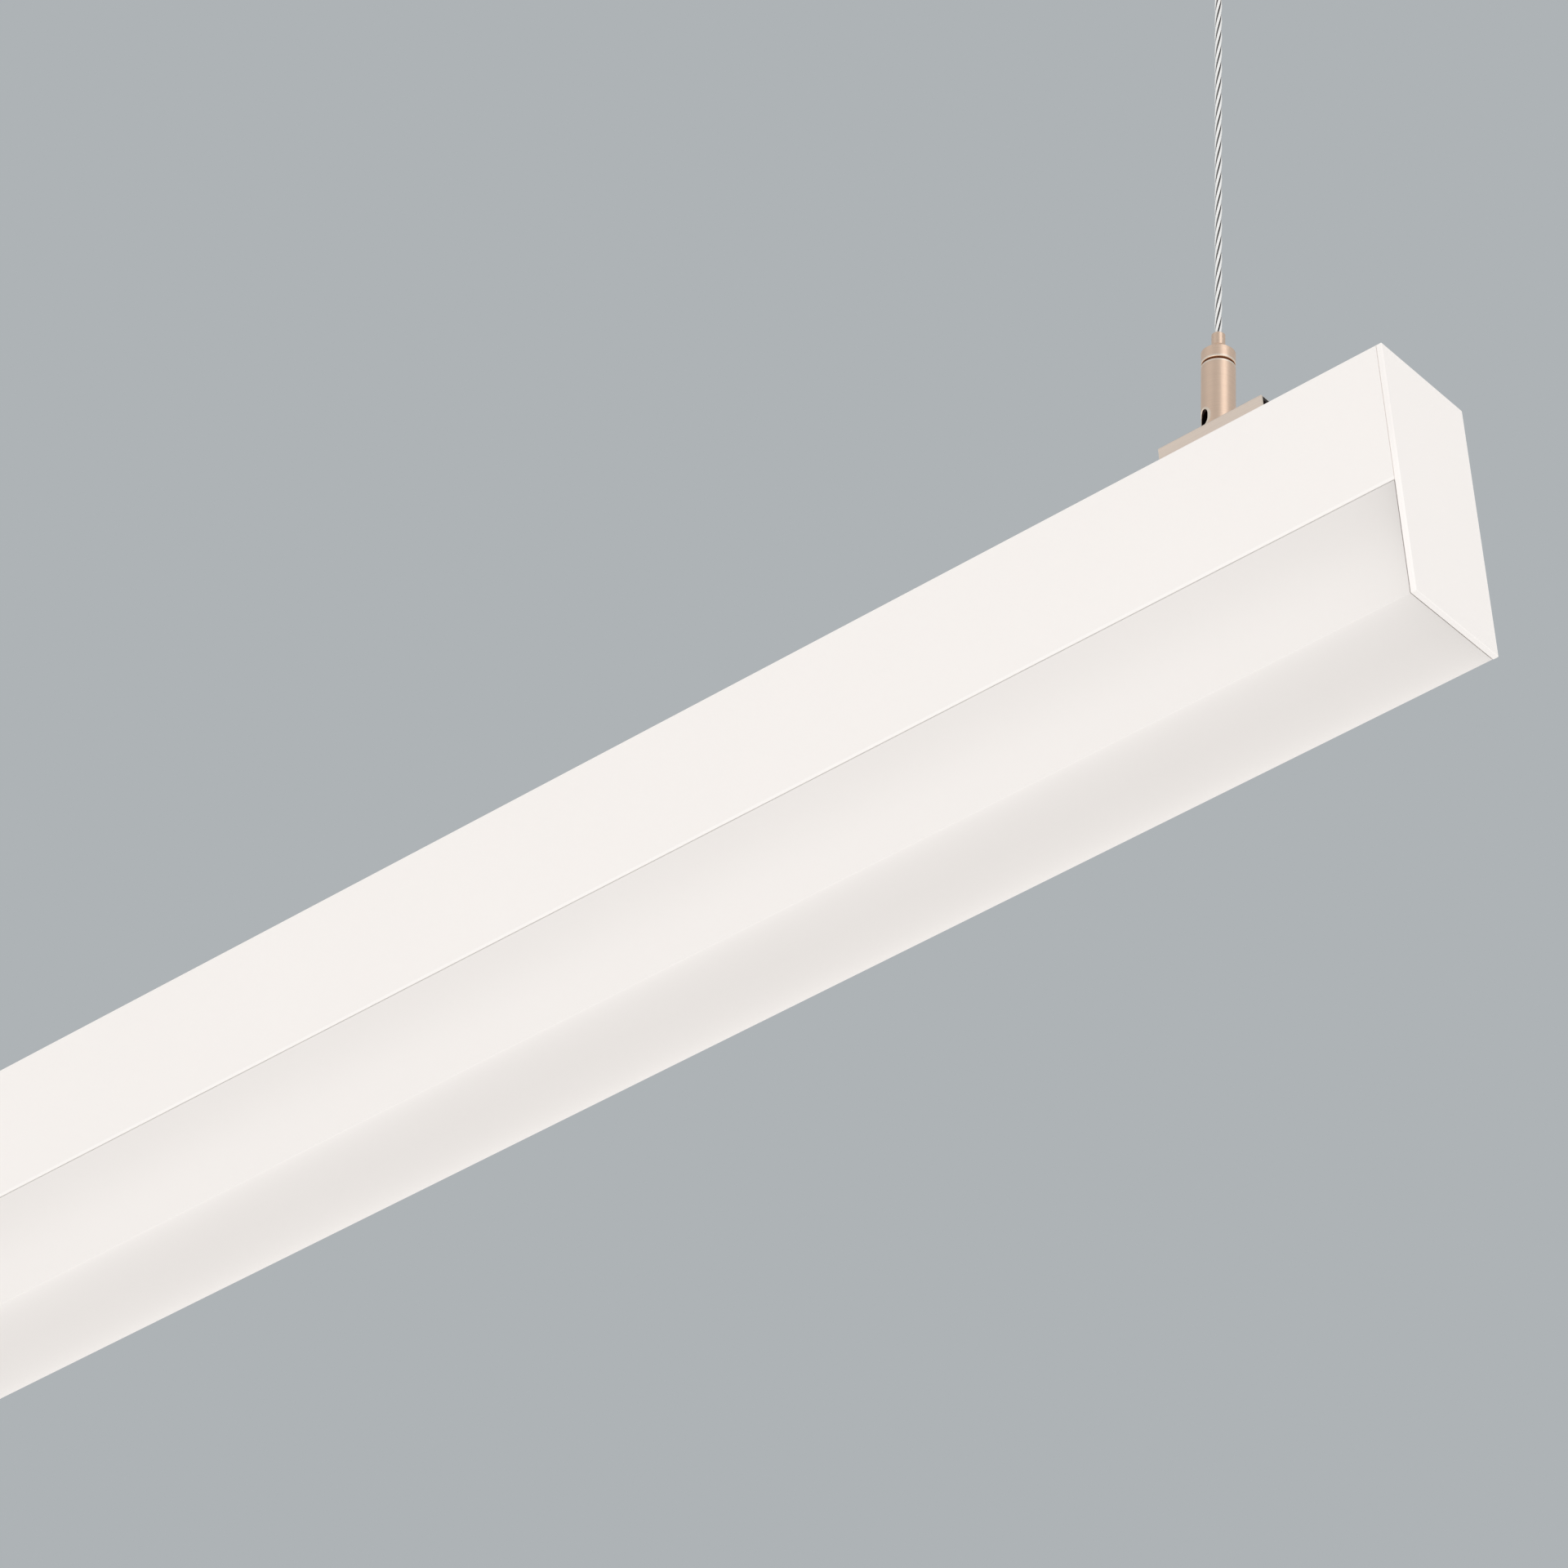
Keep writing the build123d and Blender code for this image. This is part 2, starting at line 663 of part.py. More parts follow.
def gland_dome():
    """Dome nut that closes the gland over its seal."""
    low = gland_flange + seat_gap
    thread = gland_spigot + 2 * fit_gap
    shape = rod(thread + 2 * dome_wall, low, dome_roof_z + dome_roof)
    shape = fillet(shape.edges().group_by(Axis.Z)[-1], dome_edge)
    shape -= rod(thread, low - overcut, dome_roof_z)
    return shape - rod(gland_bore, low - overcut, dome_roof_z + dome_roof + overcut)


def gland_lock_nut():
    """Thin nut that holds the gland from inside the gear chamber."""
    high = slot_block_z - top_z
    nut = hexagon(gland_flats, high - lock_nut_height, high)
    return nut - rod(gland_neck + 2 * fit_gap, high - lock_nut_height - overcut, high + overcut)


def cross_pin(diameter, length):
    """Round bar along Y, centred."""
    return Rot(90, 0, 0) * Cylinder(diameter / 2, length)


def bracket():
    """Sheet saddle: two walls stand on the profile and two lugs on its top hold the gripper's pivot."""
    shape = block((-bracket_back, -bracket_half, 0), (bracket_front, bracket_half, bracket_height))
    shape = fillet(shape.edges().filter_by(Axis.X).group_by(Axis.Z)[-1], bracket_bend)
    inner = bracket_half - bracket_sheet
    low = (-bracket_back - overcut, -inner, -overcut)
    shape -= block(low, (bracket_front + overcut, inner, bracket_floor))
    for side in (-1, 1):
        low, high = sorted((side * lug_low, side * lug_high))
        shape += block((-lug_radius, low, bracket_height), (lug_radius, high, pivot_rise))
        shape += Pos(0, (low + high) / 2, pivot_rise) * cross_pin(2 * lug_radius, bracket_sheet)
    shape -= Pos(0, 0, pivot_rise) * cross_pin(pin_diameter + 2 * fit_gap, 2 * bracket_half)
    hole = rod(clamp_thread + 2 * clamp_hole_gap, bracket_floor - overcut, bracket_height + overcut)
    return shape - Pos(clamp_offset, 0, 0) * hole


def pivot_pin():
    """Riveted pin through the lugs and the gripper's tongue."""
    shape = cross_pin(pin_diameter, 2 * lug_high)
    for side in (-1, 1):
        shape += Pos(0, side * (lug_high + pin_head_height / 2), 0) * cross_pin(pin_head, pin_head_height)
    return Pos(0, 0, pivot_rise) * shape


def slot_nut():
    """Nut with wings under the lips of the profile's slot and a neck in its mouth."""
    wing, neck = slot_half - slide_gap, slot_mouth / 2 - slide_gap
    low = clamp_offset - nut_length / 2
    high = clamp_offset + nut_length / 2
    shape = block((low, -wing, -roof_wall - nut_wall), (high, wing, -roof_wall))
    shape += block((low, -neck, -roof_wall), (high, neck, nut_neck))
    hole = rod(clamp_thread + 2 * fit_gap, -roof_wall - nut_wall - overcut, nut_neck + overcut)
    return shape - Pos(clamp_offset, 0, 0) * hole


def clamp_screw():
    """Socket screw that pulls the slot nut up and the bracket down."""
    high = bracket_height + clamp_head_height
    shape = rod(clamp_thread, -roof_wall - nut_wall, bracket_height) + rod(clamp_head, bracket_height, high)
    shape -= hexagon(clamp_socket, high - clamp_socket_depth, high + overcut)
    return Pos(clamp_offset, 0, 0) * shape


def side_exit():
    """Cutting tool for the wire's way out: a hole along Z, drawn out towards -Y, with a flared rim."""
    half, high = exit_bore / 2, gripper_radius + overcut
    edge = [
        (half, 0),
        (half, gripper_radius - exit_rim_depth),
        (half + exit_rim, gripper_radius),
        (half + exit_rim, high),
    ]
    end = turned([(0, 0), *edge, (0, high)])
    mirrored = [(-x, z) for x, z in reversed(edge)]
    middle = extrude(Plane.XZ * make_face(Polyline(*edge, *mirrored, close=True)), exit_slot)
    return end + Pos(0, -exit_slot, 0) * end + middle


def gripper_body():
    """Turned body on a flat tongue, with the wire's bore, the side exit and the spring's chamber."""
    outline = [
        (0, body_start),
        (gripper_radius, body_start),
        (gripper_radius, body_top - groove_bevel),
        (gripper_radius - groove_bevel, body_top),
        (0, body_top),
    ]
    shape = turned(outline)
    shape += block((-tongue_radius, -tongue_half, 0), (tongue_radius, tongue_half, body_start))
    shape += cross_pin(2 * tongue_radius, tongue_thickness)
    shape -= cross_pin(pin_diameter + 2 * fit_gap, 2 * gripper_radius)
    shape -= rod(2 * chamber_radius, chamber_floor, body_top + overcut)
    shape -= rod(2 * wire_bore, exit_rise, chamber_floor)
    return shape - Pos(0, 0, exit_rise) * Rot(0, 0, exit_turn) * Rot(90, 0, 0) * side_exit()


def gripper_head():
    """Screwed-on head: groove, sloping shoulder and the cone that the clamping balls wedge in."""
    low = body_top + groove_height
    outline = [
        (spigot_in, body_top - spigot_length),
        (spigot_out, body_top - spigot_length),
        (spigot_out, body_top),
        (gripper_radius - groove_cut, body_top),
        (gripper_radius - groove_cut, low),
        (gripper_radius - groove_bevel, low),
        (gripper_radius, low + groove_bevel),
        (gripper_radius, head_shoulder),
        (plunger_hole + nose_lip, head_top),
        (plunger_hole, head_top),
        (plunger_hole, body_top + jaw_height),
        (jaw_top_radius, body_top + jaw_height),
        (spigot_in, body_top),
    ]
    return turned(outline)


def plunger():
    """Press-in nose whose lower end is the cage that carries the clamping balls."""
    outline = [
        (wire_bore, cage_low),
        (cage_radius, cage_low),
        (cage_radius, body_top + cage_rise),
        (plunger_radius, body_top + cage_rise),
        (plunger_radius, plunger_top - plunger_chamfer),
        (plunger_radius - plunger_chamfer, plunger_top),
        (wire_bore, plunger_top),
    ]
    shape = turned(outline)
    hole = Rot(0, 90, 0) * rod(ball_diameter + 2 * fit_gap, 0, cage_radius + overcut)
    for i in range(ball_count):
        shape -= Rot(0, 0, 360 / ball_count * i) * Pos(0, 0, body_top + ball_rise) * hole
    return shape


def clamping_balls():
    """Balls between the wire and the head's cone."""
    ball = Pos(ball_ring, 0, body_top + ball_rise) * Sphere(ball_diameter / 2)
    return [Rot(0, 0, 360 / ball_count * i) * ball for i in range(ball_count)]


def gripper_spring():
    """Return spring under the cage, as the sleeve that it fills."""
    outer = rod(2 * cage_radius, chamber_floor, cage_low)
    return outer - rod(2 * cage_radius - 2 * spring_wall, chamber_floor - overcut, cage_low + overcut)


def wire_rope():
    """Wire from inside the gripper to the middle of its end ball."""
    return rod(wire_diameter, exit_rise + wire_tail, wire_span)


def wire_end_ball():
    """Ball pressed on the wire's upper end."""
    return Pos(0, 0, wire_span) * Sphere(end_ball / 2) - rod(wire_diameter, wire_span - end_ball, wire_span)


def ceiling_barrel():
    """Barrel with a ball seat in its floor and a flared mouth that lets the wire sway."""
    low_z = end_ball_z - seat_floor
    shape = rod(barrel_diameter, low_z, -base_flange)
    shape = fillet(shape.edges().group_by(Axis.Z)[0], barrel_edge)
    floor_z = end_ball_z + seat_rise
    seat = end_ball + 2 * fit_gap
    shape -= rod(barrel_diameter - 2 * barrel_wall, floor_z, overcut)
    shape -= rod(seat, end_ball_z, floor_z + overcut)
    shape -= Pos(0, 0, end_ball_z) * Sphere(seat / 2)
    neck = (wire_diameter / 2 + slide_gap) / math.cos(flare)
    mouth = neck + (seat_floor + overcut) * math.tan(flare)
    outline = [(0, low_z - overcut), (mouth, low_z - overcut), (neck, end_ball_z), (0, end_ball_z)]
    return shape - turned(outline)


def ceiling_base():
    """Base that is screwed to the ceiling, with a boss for the barrel."""
    boss = barrel_diameter / 2 - barrel_wall - fit_gap
    low_z = -base_flange - base_boss
    sink = (fixing_countersink - fixing_hole) / 2
    outline = [
        (fixing_hole / 2, 0),
        (barrel_diameter / 2, 0),
        (barrel_diameter / 2, -base_flange),
        (boss, -base_flange),
        (boss, low_z),
        (fixing_countersink / 2, low_z),
        (fixing_hole / 2, low_z + sink),
    ]
    return turned(outline)


def suspension_pieces():
    """The pieces of the right-hand suspension, by name and in place."""
    foot = Pos(hang_x, 0, top_z)
    tilted = Pos(hang_x, 0, top_z + pivot_rise) * Rot(0, splay, 0)
    ceiling = Pos(ceiling_x, 0, 0)
    return {
        "bracket": foot * bracket(),
        "pivot_pin": foot * pivot_pin(),
        "slot_nut": foot * slot_nut(),
        "clamp_screw": foot * clamp_screw(),
        "gripper_body": tilted * gripper_body(),
        "gripper_head": tilted * gripper_head(),
        "gripper_spring": tilted * gripper_spring(),
        "plunger": tilted * plunger(),
        "clamping_balls": Compound([tilted * ball for ball in clamping_balls()]),
        "wire_rope": tilted * wire_rope(),
        "wire_end_ball": tilted * wire_end_ball(),
        "ceiling_barrel": ceiling * ceiling_barrel(),
        "ceiling_base": ceiling * ceiling_base(),
    }


def body_pieces():
    """The pieces of the light itself, by name and in place."""
    gland = Pos(gland_x, 0, top_z)
    board_screw = screw(board_wall + web_wall - screw_short)
    board_screw_xs = board_screw_places(-1) + board_screw_places(1)
    tray_screw = screw(web_wall + tray_sheet - screw_short)
    ear_screw = screw_from_above(ear_wall + tray_sheet - screw_short)
    ear_z = tray_top_z + ear_wall
    block_screw = screw_from_above(terminal_height + tray_sheet - screw_short)
    tag_screw = screw_from_above(tag_wall + tray_sheet + web_wall - screw_short)
    return {
        "housing_profile": housing_profile(),
        "diffuser": diffuser(),
        "end_cap_right": end_cap(),
        "end_cap_left": Rot(0, 0, 180) * end_cap(),
        "led_board_right": led_board(1),
        "led_board_left": led_board(-1),
        "leds": Compound(led_row(1) + led_row(-1)),
        "led_board_screws": Compound([Pos(x, board_screw_y, board_z) * board_screw for x in board_screw_xs]),
        "board_connectors": Compound([board_connector(1), board_connector(-1)]),
        "gear_tray": gear_tray(),
        "tray_screws": Compound(
            [Pos(0, tray_screw_y, web_z) * tray_screw, Pos(tray_screw_x, 0, web_z) * tray_screw]
        ),
        "lead_grommet": lead_grommet(),
        "driver_case": driver_case(),
        "driver_input_terminal": driver_terminal(-1),
        "driver_output_terminal": driver_terminal(1),
        "driver_screws": Compound([Pos(x, 0, ear_z) * ear_screw for x in driver_ear_places]),
        "terminal_block": terminal_block(),
        "terminal_screws": Compound(terminal_screws()),
        "terminal_fixing_screw": Pos(terminal_x, 0, terminal_top_z) * block_screw,
        "earth_tag": earth_tag(),
        "earth_screw": Pos(tag_x, tag_y, tray_top_z + tag_wall) * tag_screw,
        "mains_leads": Compound(mains_leads()),
        "led_leads": Compound(led_leads()),
        "cable_gland": gland * cable_gland(),
        "gland_seal": gland * gland_seal(),
        "gland_dome": gland * gland_dome(),
        "gland_lock_nut": gland * gland_lock_nut(),
    }


pieces = body_pieces()
for name, shape in suspension_pieces().items():
    pieces[f"{name}_right"] = shape
    pieces[f"{name}_left"] = Rot(0, 0, 180) * shape

os.makedirs("parts", exist_ok=True)
for name, shape in pieces.items():
    export_step(shape, f"parts/{name}.step")
print(f"{len(pieces)} pieces, wires lean {splay:.3f} degrees, pivot to end ball {wire_span:.2f} mm")
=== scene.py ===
import json
import math

import bpy
import numpy as np
from mathutils import Matrix, Vector


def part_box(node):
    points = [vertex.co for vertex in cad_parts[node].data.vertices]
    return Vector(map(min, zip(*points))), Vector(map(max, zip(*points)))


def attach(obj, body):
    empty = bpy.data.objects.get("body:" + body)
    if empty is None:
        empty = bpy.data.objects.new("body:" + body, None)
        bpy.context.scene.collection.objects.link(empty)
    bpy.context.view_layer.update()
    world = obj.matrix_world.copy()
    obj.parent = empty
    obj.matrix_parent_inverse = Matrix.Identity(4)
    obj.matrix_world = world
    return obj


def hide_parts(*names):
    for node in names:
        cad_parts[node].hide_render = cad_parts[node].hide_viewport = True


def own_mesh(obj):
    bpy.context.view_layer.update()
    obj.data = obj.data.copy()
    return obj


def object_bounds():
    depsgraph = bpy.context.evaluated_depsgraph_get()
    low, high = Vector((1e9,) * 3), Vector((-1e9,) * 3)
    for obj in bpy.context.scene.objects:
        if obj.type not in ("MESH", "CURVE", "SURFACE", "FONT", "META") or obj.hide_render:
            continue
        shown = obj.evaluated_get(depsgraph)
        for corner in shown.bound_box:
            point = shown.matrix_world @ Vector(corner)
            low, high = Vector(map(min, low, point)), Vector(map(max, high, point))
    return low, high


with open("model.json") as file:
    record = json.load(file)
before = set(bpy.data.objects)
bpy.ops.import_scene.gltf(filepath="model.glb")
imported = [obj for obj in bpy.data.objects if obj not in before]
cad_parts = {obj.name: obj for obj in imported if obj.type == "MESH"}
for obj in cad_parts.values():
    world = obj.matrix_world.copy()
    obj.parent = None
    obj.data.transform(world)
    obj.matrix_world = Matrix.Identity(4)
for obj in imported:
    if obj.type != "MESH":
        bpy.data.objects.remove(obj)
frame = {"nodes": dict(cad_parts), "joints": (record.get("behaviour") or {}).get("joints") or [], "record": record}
cad_low, cad_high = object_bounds()

bl_info = {
    "name": "Linear Pendant Light",
    "version": (1, 0, 0),
    "blender": (4, 5, 0),
    "location": "3D View > Sidebar > Pendant Light",
    "description": "Finishes a linear pendant light, lays its wire ropes and sets its stage",
    "category": "Object",
}

JOINTS = {joint["name"]: joint for joint in frame["joints"]}
MOUNTS = {mount["name"]: mount for mount in frame["record"]["mounts"]}
SIDES = {"right": 1, "left": -1}
MILLIMETRE = 0.001

# Each wire goes from its ball in the ceiling fixing down to the inside of its gripper.
FIXING_X = MOUNTS["ceiling_fixing"]["dims"]["spacing_x_mm"] * MILLIMETRE / 2
BALL_Z = JOINTS["sway"]["pos_m"][2]
WIRE_AXIS = JOINTS["height"]["axis"]
LEAN = math.atan2(WIRE_AXIS[0], WIRE_AXIS[2])
# Direction that is square to both wires.
ACROSS = np.array((0.0, 1.0, 0.0))
# The side exit of a gripper is turned about its axis, away from straight ahead.
EXIT_TURN = math.radians(-29)
# The diodes stand in a row along the light, from a first one on each side of the middle.
DIODE_FIRST = 0.025
DIODE_PITCH = 0.012
# Orange peel of a coat, as a count to the metre and as a depth.
PEEL_SCALE = 1400.0
PEEL_DEPTH = 0.00002
# Lines of the brush or the lathe, as counts to the metre and as a depth.
LINES_ACROSS = 7000.0
LINES_ALONG = 60.0
LINE_DEPTH = 0.000002
# Fineness of the new meshes.
ROUTE_STEPS = 120
STEPS_PER_LAY = 32
STRAND_SIDES = 12
STEPS_PER_TURN = 36
SPRING_SIDES = 10
# Axes whose Z runs along the light.
LENGTHWISE = {"turn": (0, math.pi / 2, 0)}
# Width of the camera's sensor in millimetres.
SENSOR_WIDTH = 36


def linear(red, green, blue):
    """Scene-linear colour of a display colour whose channels run from 0 to 255, by the sRGB formula."""
    shown = np.array((red, green, blue)) / 255
    return tuple(np.where(shown <= 0.04045, shown / 12.92, ((shown + 0.055) / 1.055) ** 2.4))


def colour(name, red, green, blue):
    """Colour property with its default as a display colour."""
    return bpy.props.FloatVectorProperty(
        name=name,
        description=f"Display colour: {name.lower()}",
        subtype="COLOR",
        min=0,
        max=1,
        default=linear(red, green, blue),
    )


def metres(name, description, default):
    """Length property in metres."""
    return bpy.props.FloatProperty(
        name=name, description=description, default=default, unit="LENGTH", precision=5
    )


def watts(name, description, default):
    """Power property of a lamp, in watts."""
    return bpy.props.FloatProperty(name=name, description=description, default=default, subtype="POWER")


def point(name, description, default):
    """Property for a point in the light's own frame."""
    return bpy.props.FloatVectorProperty(
        name=name, description=description, default=default, subtype="TRANSLATION", unit="LENGTH", precision=6
    )


class WireSizes(bpy.types.PropertyGroup):
    """Sizes of the wire ropes and of the return springs in the grippers."""

    diameter: metres("Wire diameter", "Over the strands of a rope", 0.002)
    length: metres("Wire length", "From the ceiling ball to the end inside the gripper", 0.15222)
    lay: metres("Wire lay", "Length in which a strand goes once round the rope", 0.022)
    strands: bpy.props.IntProperty(
        name="Strands", description="Strands round the core of a rope", default=4, min=3
    )
    spring_wire: metres("Spring wire", "Diameter of the return spring's wire", 0.0006)
    spring_radius: metres("Spring radius", "From the gripper's axis to the spring wire's middle", 0.0019)
    spring_low: metres("Spring foot", "From the gripper's pivot to the spring's lower end", 0.0167)
    spring_high: metres("Spring head", "From the gripper's pivot to the spring's upper end", 0.0262)
    spring_turns: bpy.props.FloatProperty(
        name="Spring turns",
        description="Turns of the return spring, the two closed ones included",
        default=7.5,
    )


class FinishColours(bpy.types.PropertyGroup):
    """Colours of the light's surfaces."""

    coat: colour("White coat", 248, 243, 239)
    coat_shade: colour("White coat, shade", 246, 241, 237)
    # Painted highlight along the profile just above the seam.
    lip: colour("White coat, lip over the seam", 252, 248, 244)
    # Painted highlight along the caps' edges.
    cap_glint: colour("White coat, edges of the caps", 255, 250, 246)
    opal: colour("Opal diffuser", 240, 235, 231)
    opal_shade: colour("Opal diffuser, shade", 237, 232, 228)
    # Painted light: lighter low on the diffuser's sides and at the long edges of its face.
    opal_lit_low: colour("Opal diffuser, low on its sides", 245, 240, 236)
    opal_lit_edge: colour("Opal diffuser, long edges of its face", 252, 247, 243)
    # Painted shade at the diffuser's ends, beside the caps.
    opal_end_shade: colour("Opal diffuser, at its ends", 219, 214, 210)
    nickel: colour("Satin nickel", 250, 219, 195)
    nickel_shade: colour("Satin nickel, shade", 244, 213, 189)
    # Painted highlight on the nickel's edges: beside the groove, round the side exit and on the brackets' cut
    # ends.
    nickel_glint: colour("Satin nickel, worn edges", 255, 238, 220)
    sheet: colour("Nickel sheet", 253, 234, 218)
    sheet_shade: colour("Nickel sheet, shade", 247, 227, 211)
    # Painted shade in the gripper's groove.
    groove: colour("Groove in the nickel", 190, 142, 106)
    # Painted shade in the gripper's side exit and inside the brackets.
    recess_shade: colour("Recesses in the nickel", 40, 24, 16)
    steel: colour("Wire steel", 245, 244, 242)
    # Painted shade between a rope's strands.
    steel_shade: colour("Wire steel, between the strands", 88, 85, 83)
    zinc: colour("Zinc plating", 198, 201, 206)
    zinc_shade: colour("Zinc plating, shade", 168, 172, 180)
    board: colour("Board", 243, 243, 239)
    board_shade: colour("Board, shade", 238, 238, 233)
    board_gap: colour("Board, gaps in its copper", 214, 212, 200)
    phosphor: colour("Phosphor", 244, 214, 96)
    casing: colour("Gear casing", 234, 233, 230)
    casing_shade: colour("Gear casing, shade", 226, 225, 221)
    terminal: colour("Driver terminals", 128, 132, 136)
    terminal_shade: colour("Driver terminals, shade", 116, 120, 124)
    gland: colour("Cable gland", 232, 230, 226)
    gland_shade: colour("Cable gland, shade", 222, 220, 215)
    rubber: colour("Soft rubber", 44, 44, 45)
    rubber_shade: colour("Soft rubber, shade", 33, 33, 34)
    brass: colour("Brass", 222, 186, 118)
    brass_shade: colour("Brass, shade", 196, 158, 92)
    brown: colour("Live lead", 104, 64, 40)
    brown_shade: colour("Live lead, shade", 92, 55, 34)
    blue: colour("Neutral lead", 40, 84, 158)
    green: colour("Earth lead", 52, 134, 62)
    yellow: colour("Earth lead, stripe", 236, 210, 66)
    red: colour("Positive lead", 184, 40, 36)
    black: colour("Negative lead", 36, 36, 38)


class StageSettings(bpy.types.PropertyGroup):
    """Camera, lamps, backdrop and floor."""

    camera_place: point("Camera place", "Where the camera stands", (0.963968, -1.206587, -1.321799))
    camera_aim: point("Camera aim", "Point in the middle of the picture", (0.014614, 0.095787, -0.137507))
    camera_roll: bpy.props.FloatProperty(
        name="Camera roll",
        description="Turn of the camera about its line of sight",
        subtype="ANGLE",
        default=math.radians(-3.93999),
    )
    lens: bpy.props.FloatProperty(
        name="Lens", description=f"Focal length on a {SENSOR_WIDTH} mm sensor", default=154.574, min=1
    )
    floor_z: metres("Floor height", "Height of the floor, below the ceiling", -2.5)
    floor_half: metres("Floor reach", "Half the floor's width", 60.0)
    floor: colour("Floor", 236, 236, 236)
    floor_shade: colour("Floor, shade", 233, 233, 233)
    backdrop: colour("Backdrop", 174, 179, 182)
    sky: bpy.props.FloatProperty(
        name="Sky", description="Strength of the light from all round", default=0.96, min=0
    )
    front_place: point("Front lamp place", "Where the softbox in front stands", (-0.9, -2.6, 0.7))
    front_size: metres("Front lamp size", "Side of the softbox in front", 2.2)
    front_power: watts("Front lamp power", "Power of the softbox in front", 3.8)
    side_place: point("Side lamp place", "Where the softbox beside the right end stands", (2.6, -0.7, 0.4))
    side_size: metres("Side lamp size", "Side of the softbox beside the right end", 1.6)
    side_power: watts("Side lamp power", "Power of the softbox beside the right end", 11.0)
    low_place: point("Low lamp place", "Where the softbox below the light stands", (-0.2, -1.0, -2.2))
    low_size: metres("Low lamp size", "Side of the softbox below the light", 1.6)
    low_power: watts("Low lamp power", "Power of the softbox below the light", 8.5)


def add(tree, kind, inputs=None, **settings):
    """New node in a tree: settings are its properties, inputs set or link its sockets by name or number."""
    node = tree.nodes.new(kind)
    for name, value in settings.items():
        setattr(node, name, value)
    for socket, value in (inputs or {}).items():
        if isinstance(value, bpy.types.NodeSocket):
            tree.links.new(value, node.inputs[socket])
        else:
            node.inputs[socket].default_value = value
    return node


def calc(tree, operation, *values):
    """Output of a Math node on sockets or numbers."""
    return add(tree, "ShaderNodeMath", dict(enumerate(values)), operation=operation).outputs[0]


def ramp(tree, value, low, high, start=0.0, end=1.0):
    """Smooth step from start, where the value is low, to end, where it is high."""
    inputs = {"Value": value, "From Min": low, "From Max": high, "To Min": start, "To Max": end}
    return add(tree, "ShaderNodeMapRange", inputs, interpolation_type="SMOOTHSTEP").outputs["Result"]


def blend_colours(tree, mask, low, high):
    """Colour that goes from low to high with a mask. Each is a colour or a socket."""
    node = add(tree, "ShaderNodeMix", data_type="RGBA")
    coloured = [socket for socket in node.inputs if socket.type == "RGBA"]
    for target, value in zip(coloured, (low, high)):
        if isinstance(value, bpy.types.NodeSocket):
            tree.links.new(value, target)
        else:
            target.default_value = (*value, 1)
    tree.links.new(mask, node.inputs["Factor"])
    return next(socket for socket in node.outputs if socket.type == "RGBA")


def split(tree, vector):
    """X, Y and Z of a vector."""
    return add(tree, "ShaderNodeSeparateXYZ", {0: vector}).outputs


def hypotenuse(tree, a, b):
    """Root of the sum of the squares of two sockets."""
    return calc(tree, "SQRT", calc(tree, "ADD", calc(tree, "MULTIPLY", a, a), calc(tree, "MULTIPLY", b, b)))


def new_group(name, inputs, outputs):
    """Empty shader group with a Vector, named values in and named values out, with its entry and exit."""
    tree = bpy.data.node_groups.new(name, "ShaderNodeTree")
    tree.interface.new_socket("Vector", in_out="INPUT", socket_type="NodeSocketVector")
    for socket, default in inputs.items():
        made = tree.interface.new_socket(socket, in_out="INPUT", socket_type="NodeSocketFloat")
        made.default_value = default
    for socket in outputs:
        tree.interface.new_socket(socket, in_out="OUTPUT", socket_type="NodeSocketFloat")
    return tree, tree.nodes.new("NodeGroupInput").outputs, tree.nodes.new("NodeGroupOutput").inputs


def coat_skin(name):
    """Skin of a sprayed or moulded surface: Height is fine orange peel, Tone is slow unevenness."""
    tree, given, wanted = new_group(name, {"Peel Scale": PEEL_SCALE, "Tone Scale": 18.0}, ("Height", "Tone"))
    for scale, detail, output in (("Peel Scale", 2.0, "Height"), ("Tone Scale", 3.0, "Tone")):
        inputs = {"Vector": given["Vector"], "Scale": given[scale], "Detail": detail}
        noise = add(tree, "ShaderNodeTexNoise", inputs)
        tree.links.new(noise.outputs[0], wanted[output])
    return tree


def brushed_lines(name):
    """Noise with one scale across Z and one along it: Lines are hairlines, Broad are soft bands."""
    scales = {"Across": LINES_ACROSS, "Along": LINES_ALONG}
    tree, given, wanted = new_group(name, scales, ("Lines", "Broad"))
    stretch = add(
        tree, "ShaderNodeCombineXYZ", {"X": given["Across"], "Y": given["Across"], "Z": given["Along"]}
    )
    drawn = add(
        tree, "ShaderNodeVectorMath", {0: given["Vector"], 1: stretch.outputs[0]}, operation="MULTIPLY"
    ).outputs[0]
    for scale, detail, output in ((1.0, 4.0, "Lines"), (0.3, 2.0, "Broad")):
        noise = add(tree, "ShaderNodeTexNoise", {"Vector": drawn, "Scale": scale, "Detail": detail})
        tree.links.new(noise.outputs[0], wanted[output])
    return tree


def bore_shade(name):
    """Mask that is 1 nearer to the Z axis than Radius, between the heights Low and High."""
    tree, given, wanted = new_group(name, {"Radius": 0.004, "Low": 0.0, "High": 1.0}, ("Mask",))
    x, y, z = split(tree, given["Vector"])
    inside = calc(tree, "LESS_THAN", hypotenuse(tree, x, y), given["Radius"])
    above = calc(tree, "GREATER_THAN", z, given["Low"])
    below = calc(tree, "LESS_THAN", z, given["High"])
    mask = calc(tree, "MULTIPLY", inside, calc(tree, "MULTIPLY", above, below))
    tree.links.new(mask, wanted["Mask"])
    return tree


